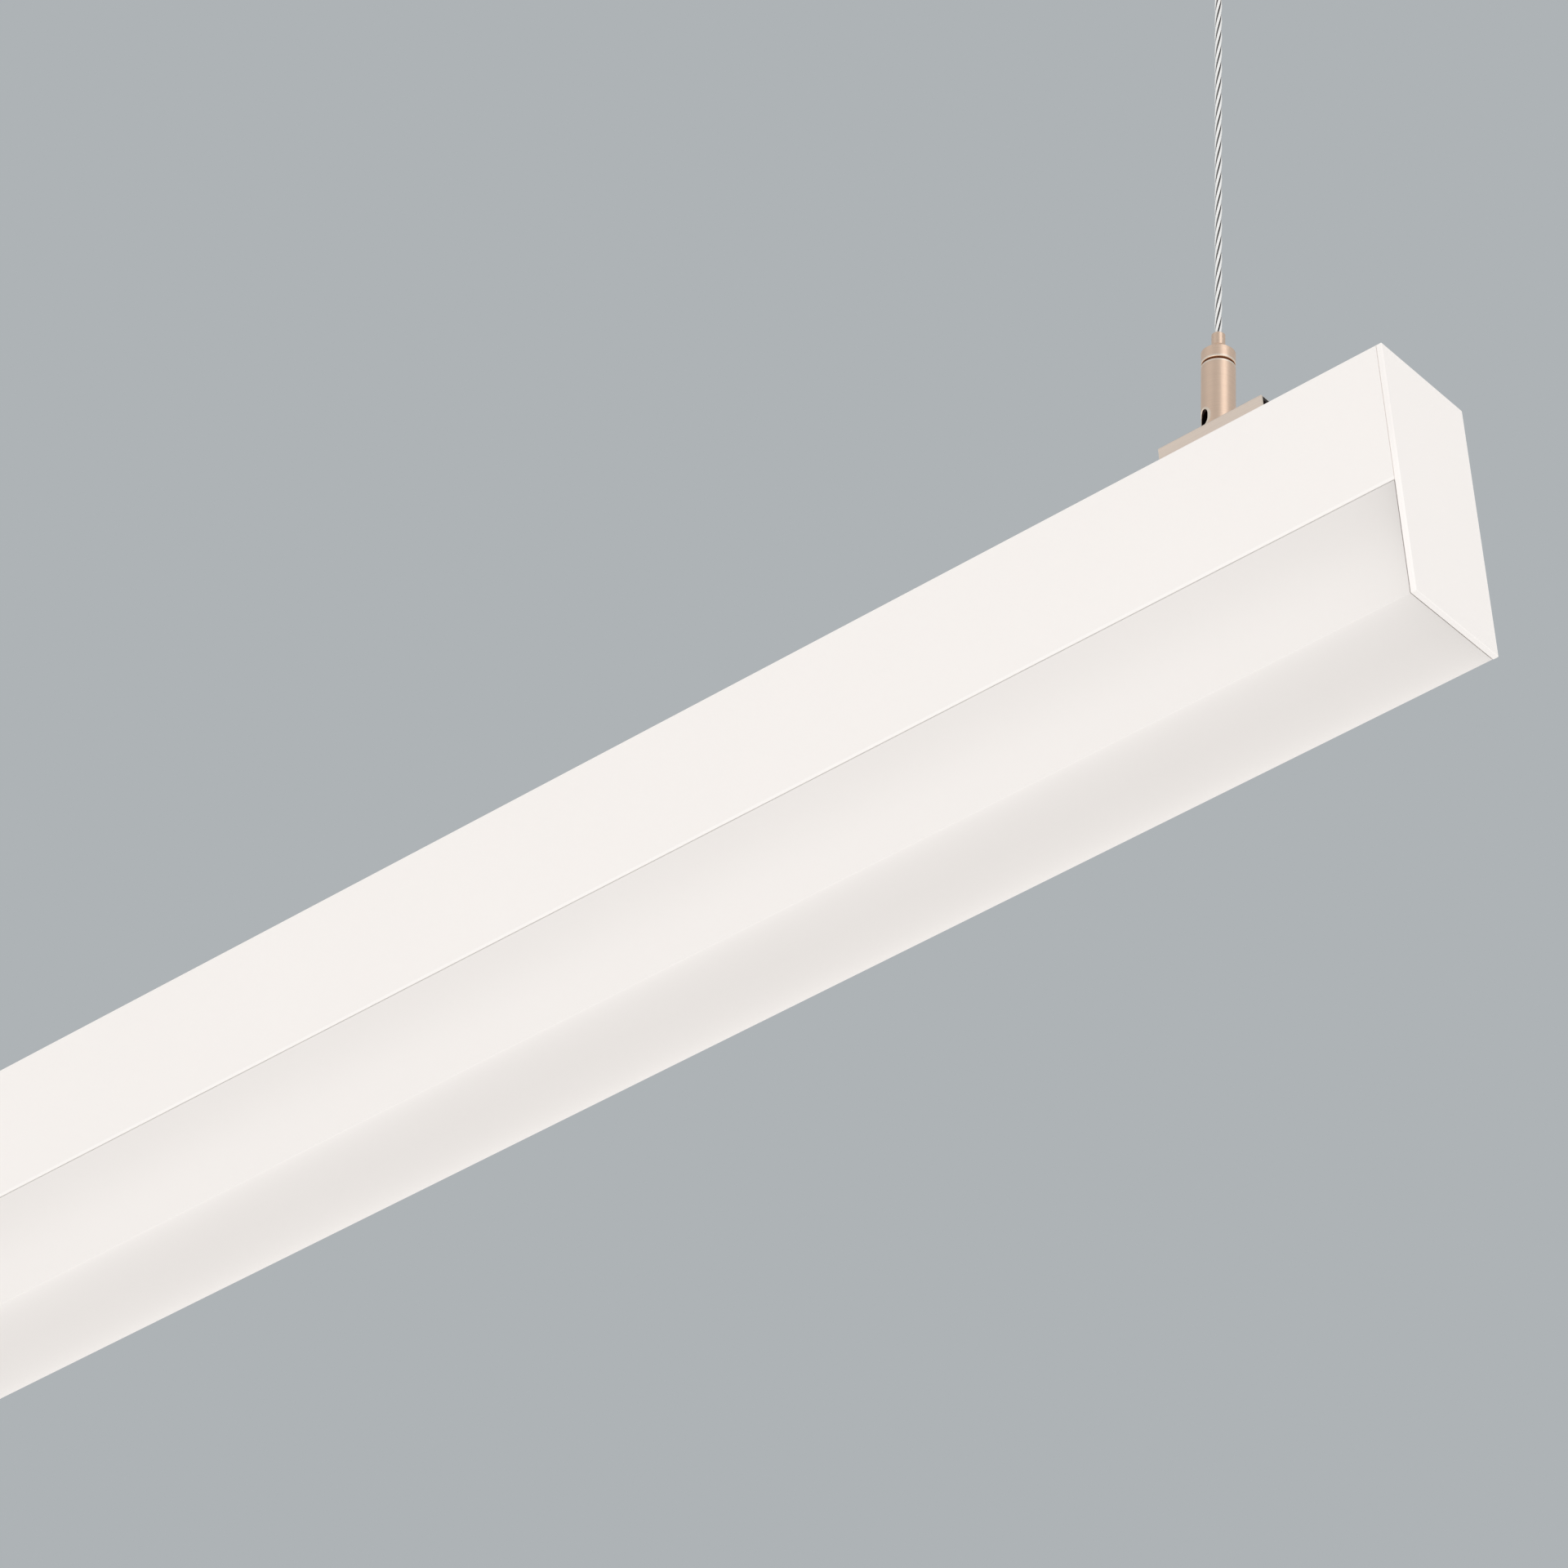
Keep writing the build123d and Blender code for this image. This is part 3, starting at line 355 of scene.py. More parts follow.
def exit_rim(name):
    """Mask round a slot in a turned part's side: 1 within Reach of the slot's middle line, and 0 past Fade.

    The line runs down by Drop from the height Rise, on the side to which To X and To Y point.
    """
    inputs = {"To X": 0.0, "To Y": -1.0, "Rise": 0.01, "Drop": 0.001, "Reach": 0.0027, "Fade": 0.003}
    tree, given, wanted = new_group(name, inputs, ("Mask",))
    x, y, z = split(tree, given["Vector"])
    out = calc(tree, "MULTIPLY_ADD", x, given["To X"], calc(tree, "MULTIPLY", y, given["To Y"]))
    beside = calc(tree, "MULTIPLY", x, given["To Y"])
    beside = calc(tree, "SUBTRACT", beside, calc(tree, "MULTIPLY", y, given["To X"]))
    above = calc(tree, "SUBTRACT", z, given["Rise"])
    below = calc(tree, "SUBTRACT", calc(tree, "MULTIPLY", above, -1.0), given["Drop"])
    past = calc(tree, "MAXIMUM", calc(tree, "MAXIMUM", above, below), 0.0)
    near = ramp(tree, hypotenuse(tree, beside, past), given["Reach"], given["Fade"], 1.0, 0.0)
    mask = calc(tree, "MULTIPLY", near, calc(tree, "GREATER_THAN", out, 0.0))
    tree.links.new(mask, wanted["Mask"])
    return tree


def diode_row(name):
    """Place beside the nearest diode of a row along X: Along the row from its middle, and Across it."""
    places = {"First": DIODE_FIRST, "Pitch": DIODE_PITCH}
    tree, given, wanted = new_group(name, places, ("Along", "Across"))
    x, y, _ = split(tree, given["Vector"])
    from_first = calc(tree, "SUBTRACT", calc(tree, "ABSOLUTE", x), given["First"])
    half = calc(tree, "MULTIPLY", given["Pitch"], 0.5)
    along = calc(tree, "WRAP", from_first, half, calc(tree, "MULTIPLY", half, -1.0))
    tree.links.new(along, wanted["Along"])
    tree.links.new(y, wanted["Across"])
    return tree


def use_group(tree, name, build, vector, **values):
    """Place a shared group in a material, built the first time that it is asked for. Gives its outputs."""
    shared = bpy.data.node_groups.get(name) or build(name)
    inputs = {"Vector": vector} | {socket.replace("_", " "): value for socket, value in values.items()}
    return add(tree, "ShaderNodeGroup", inputs, node_tree=shared).outputs


def new_material(name, **sockets):
    """Material with constants on its shader's own sockets. Gives the material, its tree and the shader."""
    material = bpy.data.materials.new(name)
    material.use_nodes = True
    shader = material.node_tree.nodes["Principled BSDF"]
    for socket, value in sockets.items():
        shader.inputs[socket.replace("_", " ")].default_value = value
    return material, material.node_tree, shader


def object_coordinates(tree, middle=(0, 0, 0), turn=(0, 0, 0)):
    """Object coordinates about a middle, in axes turned by the angles."""
    seen = add(tree, "ShaderNodeTexCoord").outputs["Object"]
    inputs = {"Vector": seen, "Location": middle, "Rotation": turn}
    return add(tree, "ShaderNodeMapping", inputs, vector_type="TEXTURE").outputs[0]


def finish(tree, shader, base, roughness, height, depth):
    """Feed a colour, a roughness and a bump of a depth in metres to the shader."""
    tree.links.new(base, shader.inputs["Base Color"])
    tree.links.new(roughness, shader.inputs["Roughness"])
    relief = add(tree, "ShaderNodeBump", {"Height": height, "Distance": depth})
    tree.links.new(relief.outputs[0], shader.inputs["Normal"])


def coated(name, base, shade, roughness, peel=PEEL_SCALE, depth=PEEL_DEPTH, overlay=None, **sockets):
    """Sprayed or moulded surface: two close tones, an uneven gloss and orange peel.

    The overlay takes the tree and the colour so far, and gives the colour with a pattern on it.
    """
    material, tree, shader = new_material(name, **sockets)
    skin = use_group(tree, "Coat Skin", coat_skin, object_coordinates(tree), Peel_Scale=peel)
    tint = blend_colours(tree, skin["Tone"], shade, base)
    tint = overlay(tree, tint) if overlay else tint
    spread = 0.06
    gloss = ramp(tree, skin["Tone"], 0.0, 1.0, roughness + spread, roughness - spread)
    finish(tree, shader, tint, gloss, skin["Height"], depth)
    return material


def uneven_gloss(tree, noise, roughness, spread=0.08):
    """Roughness that strays by a spread to both sides, with a noise whose values lie from 0.2 to 0.8."""
    return ramp(tree, noise, 0.2, 0.8, roughness - spread, roughness + spread)


def brushed(name, base, shade, roughness, axes=None, overlay=None, metallic=1.0, turned=False):
    """Metal with fine lines along Z of its axes, or round Z where it is turned.

    The axes are a middle and a turn. The overlay takes the tree, the coordinates in those axes and the colour
    so far, and gives the colour with a pattern.
    """
    material, tree, shader = new_material(name, Metallic=metallic)
    seen = object_coordinates(tree, **(axes or {}))
    across, along = (LINES_ALONG, LINES_ACROSS) if turned else (LINES_ACROSS, LINES_ALONG)
    dark, bright = 0.3, 0.7
    lines = use_group(tree, "Brushed Lines", brushed_lines, seen, Across=across, Along=along)
    tint = blend_colours(tree, ramp(tree, lines["Lines"], dark, bright), shade, base)
    tint = overlay(tree, seen, tint) if overlay else tint
    finish(tree, shader, tint, uneven_gloss(tree, lines["Broad"], roughness), lines["Lines"], LINE_DEPTH)
    return material


def dress(material, *names):
    """Give CAD nodes one material."""
    for name in names:
        data = frame["nodes"][name].data
        data.materials.clear()
        data.materials.append(material)


def both(*names):
    """Names of the right and the left one of each node."""
    return [f"{name}_{side}" for name in names for side in SIDES]


def middle_of(node):
    """Middle of a node's box."""
    low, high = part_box(node)
    return (np.array(low) + np.array(high)) / 2


def new_piece(name, points, faces, material, body):
    """Smooth mesh object at the origin that rides on a body, with the material that it is given."""
    mesh = bpy.data.meshes.new(name)
    mesh.from_pydata(points.reshape(-1, 3), [], faces)
    mesh.shade_smooth()
    mesh.materials.append(material)
    piece = bpy.data.objects.new(name, mesh)
    bpy.context.scene.collection.objects.link(piece)
    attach(piece, body)
    return piece


def tube_points(line, across, radius, sides):
    """Tubes about lines of points, as an array of (lines, rings, sides, 3).

    A ring is line + radius * (cos a * across + sin a * beside): across is square to the line's run, and
    beside is square to both. The radius is one for all lines, or an array with one for each.
    """
    run = np.gradient(line, axis=1)
    run /= np.linalg.norm(run, axis=-1, keepdims=True)
    beside = np.cross(run, across)
    a = np.linspace(0, 2 * math.pi, sides, endpoint=False)[:, None]
    return line[..., None, :] + radius * (np.cos(a) * across[..., None, :] + np.sin(a) * beside[..., None, :])


def tube_faces(lines, rings, sides):
    """Quads of such tubes, with a flat end on the first and the last ring of each."""
    k, i, j = np.meshgrid(np.arange(lines), np.arange(rings - 1), np.arange(sides), indexing="ij")
    start = (k * rings + i) * sides
    here, turned = start + j, start + (j + 1) % sides
    quads = np.stack((here, turned, turned + sides, here + sides), -1).reshape(-1, 4)
    first = np.arange(lines)[:, None] * rings * sides
    low = first + np.arange(sides)[::-1]
    high = first + (rings - 1) * sides + np.arange(sides)
    return quads.tolist() + low.tolist() + high.tolist()


def route_points(name, route):
    """Points along the smooth line of a route, read from a NURBS curve with it as its control points."""
    curve = bpy.data.curves.new(name, "CURVE")
    curve.dimensions = "3D"
    spline = curve.splines.new("NURBS")
    spline.points.add(len(route) - 1)
    spline.points.foreach_set("co", np.c_[route, np.ones(len(route))].ravel())
    spline.order_u = 3
    spline.use_endpoint_u = True
    spline.resolution_u = ROUTE_STEPS
    holder = bpy.data.objects.new(name, curve)
    mesh = bpy.data.meshes.new_from_object(holder)
    points = np.empty(len(mesh.vertices) * 3)
    mesh.vertices.foreach_get("co", points)
    bpy.data.meshes.remove(mesh)
    bpy.data.objects.remove(holder)
    bpy.data.curves.remove(curve)
    return points.reshape(-1, 3)


def wire_axis(side):
    """Direction of a wire and its gripper, upwards."""
    return np.array((SIDES[side] * WIRE_AXIS[0], 0.0, WIRE_AXIS[2]))


def wire_route(side, sizes):
    """Control points of a wire: its end in the gripper, its middle, and the middle of its ceiling ball."""
    top = np.array((SIDES[side] * FIXING_X, 0.0, BALL_Z))
    return [top - wire_axis(side) * sizes.length * share for share in (1.0, 0.5, 0.0)]


def strand_radius(sizes):
    """Radius of a rope's strands, which touch one another.

    It is R * s / (1 + s), with R the rope's radius and s the sine of half the turn between two strands.
    """
    sine = math.sin(math.pi / sizes.strands)
    return sizes.diameter / 2 * sine / (1 + sine)


def rope_strands(path, sizes):
    """Lines of a rope's core and strands, the way outwards along each, and each one's radius, as arrays.

    A strand is path + reach * (cos a * across + sin a * beside): a grows by a full turn over each lay length,
    and the reach is the rope's radius less the strand's.
    """
    along = np.r_[0, np.cumsum(np.linalg.norm(np.diff(path, axis=0), axis=1))]
    evenly = np.linspace(0, along[-1], round(along[-1] / sizes.lay * STEPS_PER_LAY))
    line = np.stack([np.interp(evenly, along, path[:, k]) for k in range(3)], -1)
    run = (path[-1] - path[0]) / np.linalg.norm(path[-1] - path[0])
    beside = np.cross(run, ACROSS)
    start = np.arange(sizes.strands)[:, None] / sizes.strands
    a = 2 * math.pi * (evenly / sizes.lay + start)[..., None]
    outwards = np.cos(a) * ACROSS + np.sin(a) * beside
    core = np.broadcast_to(ACROSS, line.shape)
    strand = strand_radius(sizes)
    reach = sizes.diameter / 2 - strand
    lines = np.concatenate((line[None], line + reach * outwards))
    radii = np.array([reach - strand] + [strand] * sizes.strands)
    return lines, np.concatenate((core[None], outwards)), radii[:, None, None, None]


def wire_steel(colours):
    """Bright drawn steel with painted shade in the valleys between a rope's strands, by the rope's own attribute.
    """
    material, tree, shader = new_material("bright wire steel", Metallic=0.2)
    valley, crown, roughness = 0.72, 0.90, 0.34
    seen = object_coordinates(tree)
    crest = add(tree, "ShaderNodeAttribute", attribute_name="crest").outputs["Fac"]
    lines = use_group(tree, "Brushed Lines", brushed_lines, seen, Across=6000.0, Along=300.0)["Lines"]
    tint = blend_colours(tree, ramp(tree, crest, valley, crown), colours.steel_shade, colours.steel)
    finish(tree, shader, tint, uneven_gloss(tree, lines, roughness), lines, 2 * LINE_DEPTH)
    return material


def mark_crests(piece, points, middles, radius):
    """Give a rope's points the attribute crest: their distance from the rope's line over its radius."""
    far = np.linalg.norm(points - middles, axis=-1) / radius
    crest = piece.data.attributes.new("crest", "FLOAT", "POINT")
    crest.data.foreach_set("value", far.ravel())


class PENDANT_OT_lay_wires(bpy.types.Operator):
    """Lay the two wire ropes from the ceiling balls into the grippers"""

    bl_idname = "pendant.lay_wires"
    bl_label = "Lay wire ropes"

    def execute(self, context):
        sizes = context.scene.pendant_wires
        colours = context.scene.pendant_colours
        steel = wire_steel(colours)
        for side in SIDES:
            path = route_points(f"wire_route_{side}", wire_route(side, sizes))
            lines, outwards, radii = rope_strands(path, sizes)
            points = tube_points(lines, outwards, radii, STRAND_SIDES)
            faces = tube_faces(*points.shape[:3])
            rope = new_piece(f"wire_strands_{side}", points, faces, steel, "wires")
            mark_crests(rope, points, lines[0][:, None, :], sizes.diameter / 2)
            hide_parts(f"wire_rope_{side}")
        ball = brushed("end ball steel", colours.steel, colours.zinc, roughness=0.25)
        dress(ball, *both("wire_end_ball"))
        return {"FINISHED"}


def spring_line(side, sizes):
    """Middle line of a return spring, and the way outwards along it, as arrays of (1, points, 3).

    The line is foot + rise * axis + radius * (cos a * across + sin a * beside). The rise is one wire in the
    first and the last turn, which are closed, and even in between.
    """
    axis = wire_axis(side)
    beside = np.cross(axis, ACROSS)
    half = sizes.spring_wire / 2
    tall = sizes.spring_high - sizes.spring_low - sizes.spring_wire
    turn = np.linspace(0, sizes.spring_turns, round(sizes.spring_turns * STEPS_PER_TURN))
    rise = np.interp(
        turn,
        (0, 1, sizes.spring_turns - 1, sizes.spring_turns),
        (0, sizes.spring_wire, tall - sizes.spring_wire, tall),
    )
    a = 2 * math.pi * turn[:, None]
    outwards = np.cos(a) * ACROSS + np.sin(a) * beside
    foot = middle_of(f"pivot_pin_{side}") + axis * (sizes.spring_low + half)
    return (foot + rise[:, None] * axis + sizes.spring_radius * outwards)[None], outwards[None]


class PENDANT_OT_wind_springs(bpy.types.Operator):
    """Wind the return springs under the plungers"""

    bl_idname = "pendant.wind_springs"
    bl_label = "Wind return springs"

    def execute(self, context):
        sizes = context.scene.pendant_wires
        colours = context.scene.pendant_colours
        steel = brushed("spring steel", colours.zinc, colours.zinc_shade, roughness=0.3)
        for side in SIDES:
            points = tube_points(*spring_line(side, sizes), sizes.spring_wire / 2, SPRING_SIDES)
            faces = tube_faces(*points.shape[:3])
            body = f"hanger_{side}"
            spring = new_piece(f"return_spring_{side}", points, faces, steel, body)
            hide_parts(f"gripper_spring_{side}")
            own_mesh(spring)
        return {"FINISHED"}


def seam_glint(colours):
    """Overlay that paints a highlight on the last millimetre of the profile above the seam."""
    seam_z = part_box("housing_profile")[0][2]
    lip, fade = 0.0007, 0.0006

    def overlay(tree, tint):
        z = split(tree, object_coordinates(tree))["Z"]
        mask = ramp(tree, z, seam_z + lip, seam_z + lip + fade, 1.0, 0.0)
        return blend_colours(tree, mask, tint, colours.lip)

    return overlay


def cap_glints(colours):
    """Overlay that paints a highlight on the upright edges and the lower edge of the caps.

    Above the seam it fades to a share of itself.
    """
    low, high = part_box("end_cap_right")
    seam_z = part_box("housing_profile")[0][2]
    edge, fade = 0.0001, 0.0005
    climb, share = 0.02, 0.35

    def overlay(tree, tint):
        _, y, z = split(tree, object_coordinates(tree))
        from_side = calc(tree, "SUBTRACT", high[1], calc(tree, "ABSOLUTE", y))
        from_edge = calc(tree, "MINIMUM", from_side, calc(tree, "SUBTRACT", z, low[2]))
        mask = ramp(tree, from_edge, edge, edge + fade, 1.0, 0.0)
        mask = calc(tree, "MULTIPLY", mask, ramp(tree, z, seam_z, seam_z + climb, 1.0, share))
        return blend_colours(tree, mask, tint, colours.cap_glint)

    return overlay


class PENDANT_OT_coat_body(bpy.types.Operator):
    """Coat the metal profile and its end caps"""

    bl_idname = "pendant.coat_body"
    bl_label = "Coat profile and caps"

    def execute(self, context):
        colours = context.scene.pendant_colours
        satin = {"roughness": 0.45, "Specular_IOR_Level": 0.3}
        coat = coated("white coat", colours.coat, colours.coat_shade, overlay=seam_glint(colours), **satin)
        dress(coat, "housing_profile")
        caps = coated(
            "white coat on caps", colours.coat, colours.coat_shade, overlay=cap_glints(colours), **satin
        )
        dress(caps, *both("end_cap"))
        return {"FINISHED"}


def opal_glow(colours):
    """Overlay of painted light and painted shade on the opal plastic: the light that it carries along itself, and
    shade at its ends.

    Its sides are painted lighter downwards, its lower face is painted lighter at its long edges, by e to the power
    of minus the way inwards over a reach, and its ends get painted shade, by a reach over itself and the way from
    the end.
    The ends' shade falls to a share of itself at the bottom.
    """
    low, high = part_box("diffuser")
    seam_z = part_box("housing_profile")[0][2]
    edge_reach, end_reach, end_share = 0.006, 0.006, 0.4
    light_z, face_z = low[2] + 0.008, low[2] + 0.0001

    def overlay(tree, tint):
        x, y, z = split(tree, object_coordinates(tree))
        fall = ramp(tree, z, seam_z, light_z)
        face = calc(tree, "LESS_THAN", z, face_z)
        inwards = calc(tree, "SUBTRACT", high[1], calc(tree, "ABSOLUTE", y))
        edge = calc(tree, "EXPONENT", calc(tree, "DIVIDE", inwards, -edge_reach))
        from_end = calc(tree, "SUBTRACT", high[0], calc(tree, "ABSOLUTE", x))
        end = calc(tree, "DIVIDE", end_reach, calc(tree, "ADD", from_end, end_reach))
        end = calc(tree, "MULTIPLY", end, ramp(tree, z, seam_z, low[2], 1.0, end_share))
        side = blend_colours(tree, fall, tint, colours.opal_lit_low)
        lower = blend_colours(tree, edge, tint, colours.opal_lit_edge)
        return blend_colours(tree, end, blend_colours(tree, face, side, lower), colours.opal_end_shade)

    return overlay


class PENDANT_OT_tint_diffuser(bpy.types.Operator):
    """Make the diffuser opal"""

    bl_idname = "pendant.tint_diffuser"
    bl_label = "Tint diffuser"

    def execute(self, context):
        colours = context.scene.pendant_colours
        opal = coated(
            "opal acrylic",
            colours.opal,
            colours.opal_shade,
            roughness=0.4,
            peel=500.0,
            depth=0.00001,
            overlay=opal_glow(colours),
            Specular_IOR_Level=0.35,
        )
        dress(opal, "diffuser")
        return {"FINISHED"}


def gripper_edges(colours, sign):
    """Overlay for the gripper: painted highlights beside the groove and round the side exit, and painted shade
    inside both.

    The side exit of the right gripper points forwards and to the middle, and the left gripper is the same one
    turned half round. Heights are above the pivot, and each radius holds the surface that its band colours.
    """
    outside, groove, chamber = 0.00480, 0.00462, 0.00452
    groove_low, groove_high, glinting = 0.0277, 0.0287, 0.0005
    chamber_low, chamber_high = 0.0063, 0.0140
    exit_rise, exit_drop = 0.01015, 0.001
    # Bands: painted highlight beside the groove, painted shade in the groove and inside the side exit.
    bands = (
        (outside, groove_low - glinting, groove_high + glinting, colours.nickel_glint),
        (groove, groove_low, groove_high, colours.groove),
        (chamber, chamber_low, chamber_high, colours.recess_shade),
    )
    to_x, to_y = sign * math.sin(EXIT_TURN), -sign * math.cos(EXIT_TURN)

    def overlay(tree, seen, tint):
        # Painted highlight round the side exit's rim.
        slot = {"To_X": to_x, "To_Y": to_y, "Rise": exit_rise, "Drop": exit_drop}
        rim = use_group(tree, "Exit Rim", exit_rim, seen, **slot)["Mask"]
        tint = blend_colours(tree, rim, tint, colours.nickel_glint)
        for radius, low, high, tone in bands:
            mask = use_group(tree, "Bore Shade", bore_shade, seen, Radius=radius, Low=low, High=high)["Mask"]
            tint = blend_colours(tree, mask, tint, tone)
        return tint

    return overlay


def bracket_channel(colours):
    """Overlay that paints shade on the brackets' inside and a highlight on their cut ends."""
    wall, roof, skin = 0.0012, 0.0058, 0.0001
    low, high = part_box("bracket_right")
    half = high[1] - wall + skin
    middle_x, end_x = (low[0] + high[0]) / 2, (high[0] - low[0]) / 2 - skin
    roof_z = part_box("housing_profile")[1][2] + roof - skin

    def overlay(tree, seen, tint):
        x, y, z = split(tree, object_coordinates(tree))
        inside = calc(tree, "LESS_THAN", calc(tree, "ABSOLUTE", y), half)
        under = calc(tree, "LESS_THAN", z, roof_z)
        from_middle = calc(tree, "ABSOLUTE", calc(tree, "SUBTRACT", calc(tree, "ABSOLUTE", x), middle_x))
        cut = calc(tree, "GREATER_THAN", from_middle, end_x)
        # Painted highlight on the cut ends, then painted shade inside the channel.
        tint = blend_colours(tree, cut, tint, colours.nickel_glint)
        return blend_colours(tree, calc(tree, "MULTIPLY", inside, under), tint, colours.recess_shade)

    return overlay


def turned_nickel(name, colours, roughness, axes=None, overlay=None):
    """Satin nickel with lathe lines round Z of its axes."""
    return brushed(
        name,
        colours.nickel,
        colours.nickel_shade,
        roughness,
        axes=axes,
        overlay=overlay,
        metallic=0.85,
        turned=True,
    )


class PENDANT_OT_finish_hangers(bpy.types.Operator):
    """Finish the grippers with lathe lines, and the brackets with brush lines along the light"""

    bl_idname = "pendant.finish_hangers"
    bl_label = "Finish hangers"

    def execute(self, context):
        colours = context.scene.pendant_colours
        for side, sign in SIDES.items():
            axes = {"middle": middle_of(f"pivot_pin_{side}"), "turn": (0, sign * LEAN, 0)}
            gripper = turned_nickel(
                f"satin nickel gripper {side}",
                colours,
                roughness=0.4,
                axes=axes,
                overlay=gripper_edges(colours, sign),
            )
            dress(gripper, f"gripper_body_{side}", f"gripper_head_{side}")
            plain = turned_nickel(f"satin nickel {side}", colours, roughness=0.34, axes=axes)
            dress(plain, f"plunger_{side}", f"pivot_pin_{side}", f"clamping_balls_{side}")
        sheet = brushed(
            "satin nickel sheet",
            colours.sheet,
            colours.sheet_shade,
            roughness=0.36,
            axes=LENGTHWISE,
            overlay=bracket_channel(colours),
            metallic=0.7,
        )
        dress(sheet, *both("bracket"))
        screw = turned_nickel("satin nickel screw", colours, roughness=0.4)
        dress(screw, *both("clamp_screw"))
        zinc = brushed("zinc plated nut", colours.zinc, colours.zinc_shade, roughness=0.4, axes=LENGTHWISE)
        dress(zinc, *both("slot_nut"))
        return {"FINISHED"}


class PENDANT_OT_finish_ceiling_fixings(bpy.types.Operator):
    """Finish the ceiling barrels and bases with lathe lines"""

    bl_idname = "pendant.finish_ceiling_fixings"
    bl_label = "Finish ceiling fixings"

    def execute(self, context):
        colours = context.scene.pendant_colours
        for side in SIDES:
            axes = {"middle": middle_of(f"ceiling_barrel_{side}")}
            nickel = turned_nickel(f"satin nickel barrel {side}", colours, roughness=0.34, axes=axes)
            dress(nickel, f"ceiling_barrel_{side}", f"ceiling_base_{side}")
        return {"FINISHED"}


def from_diode(tree):
    """Way from the nearest diode's middle, along and across the light."""
    return use_group(tree, "Diode Row", diode_row, object_coordinates(tree))


def diode_faces(colours):
    """Overlay that sets a round window of phosphor in each diode's white package."""
    radius, rim = 0.00105, 0.00015

    def overlay(tree, tint):
        window = ramp(tree, hypotenuse(tree, *from_diode(tree)), radius, radius + rim, 1.0, 0.0)
        return blend_colours(tree, window, tint, colours.phosphor)

    return overlay


def board_gaps(colours):
    """Overlay that shows the gaps in the copper under a board's mask.

    One is in the middle between two diodes, and one runs along each side of the row.
    """
    row, half_gap = 0.0045, 0.00015

    def overlay(tree, tint):
        along, y = from_diode(tree)
        from_row = calc(tree, "SUBTRACT", calc(tree, "ABSOLUTE", y), row)
        cross = calc(tree, "GREATER_THAN", calc(tree, "ABSOLUTE", along), DIODE_PITCH / 2 - half_gap)
        cross = calc(tree, "MULTIPLY", cross, calc(tree, "LESS_THAN", from_row, 0.0))
        beside = calc(tree, "LESS_THAN", calc(tree, "ABSOLUTE", from_row), half_gap)
        return blend_colours(tree, calc(tree, "MAXIMUM", cross, beside), tint, colours.board_gap)

    return overlay


class PENDANT_OT_finish_boards(bpy.types.Operator):
    """Finish the boards, their diodes and what holds them"""

    bl_idname = "pendant.finish_boards"
    bl_label = "Finish boards"

    def execute(self, context):
        colours = context.scene.pendant_colours
        gaps, windows = board_gaps(colours), diode_faces(colours)
        mask = coated("board mask", colours.board, colours.board_shade, roughness=0.4, overlay=gaps)
        dress(mask, *both("led_board"))
        casing = {"base": colours.casing, "shade": colours.casing_shade}
        dress(coated("diode package", roughness=0.3, overlay=windows, **casing), "leds")
        dress(coated("board connector", roughness=0.5, **casing), "board_connectors")
        zinc = brushed("zinc plated screws", colours.zinc, colours.zinc_shade, roughness=0.4)
        dress(zinc, "led_board_screws", "tray_screws")
        return {"FINISHED"}


def mains_insulation(colours):
    """Overlay for the mains leads, which lie side by side: live, then blue neutral, then striped earth."""
    neutral_y, earth_y = -0.00375, 0.0025
    stripe_pitch, stripe_level = 0.006, 0.2

    def overlay(tree, tint):
        x, y, _ = split(tree, object_coordinates(tree))
        neutral = calc(tree, "GREATER_THAN", y, neutral_y)
        earth = calc(tree, "GREATER_THAN", y, earth_y)
        wave = calc(tree, "SINE", calc(tree, "MULTIPLY", x, 2 * math.pi / stripe_pitch))
        stripe = calc(tree, "MULTIPLY", earth, calc(tree, "GREATER_THAN", wave, stripe_level))
        tint = blend_colours(tree, neutral, tint, colours.blue)
        return blend_colours(tree, stripe, blend_colours(tree, earth, tint, colours.green), colours.yellow)

    return overlay


def board_insulation(colours):
    """Overlay for the leads to the boards, which lie side by side: white link, then red, then black."""
    red_y, black_y = 0.00175, 0.005

    def overlay(tree, tint):
        y = split(tree, object_coordinates(tree))["Y"]
        tint = blend_colours(tree, calc(tree, "GREATER_THAN", y, red_y), tint, colours.red)
        return blend_colours(tree, calc(tree, "GREATER_THAN", y, black_y), tint, colours.black)

    return overlay


def spangle(colours):
    """Overlay that shows the zinc's crystals, each in its own tone."""
    per_metre, strength = 260.0, 0.6

    def overlay(tree, seen, tint):
        crystals = add(tree, "ShaderNodeTexVoronoi", {"Vector": seen, "Scale": per_metre}).outputs["Color"]
        tone = ramp(tree, split(tree, crystals)["X"], 0.0, 1.0, 0.0, strength)
        return blend_colours(tree, tone, tint, colours.zinc_shade)

    return overlay


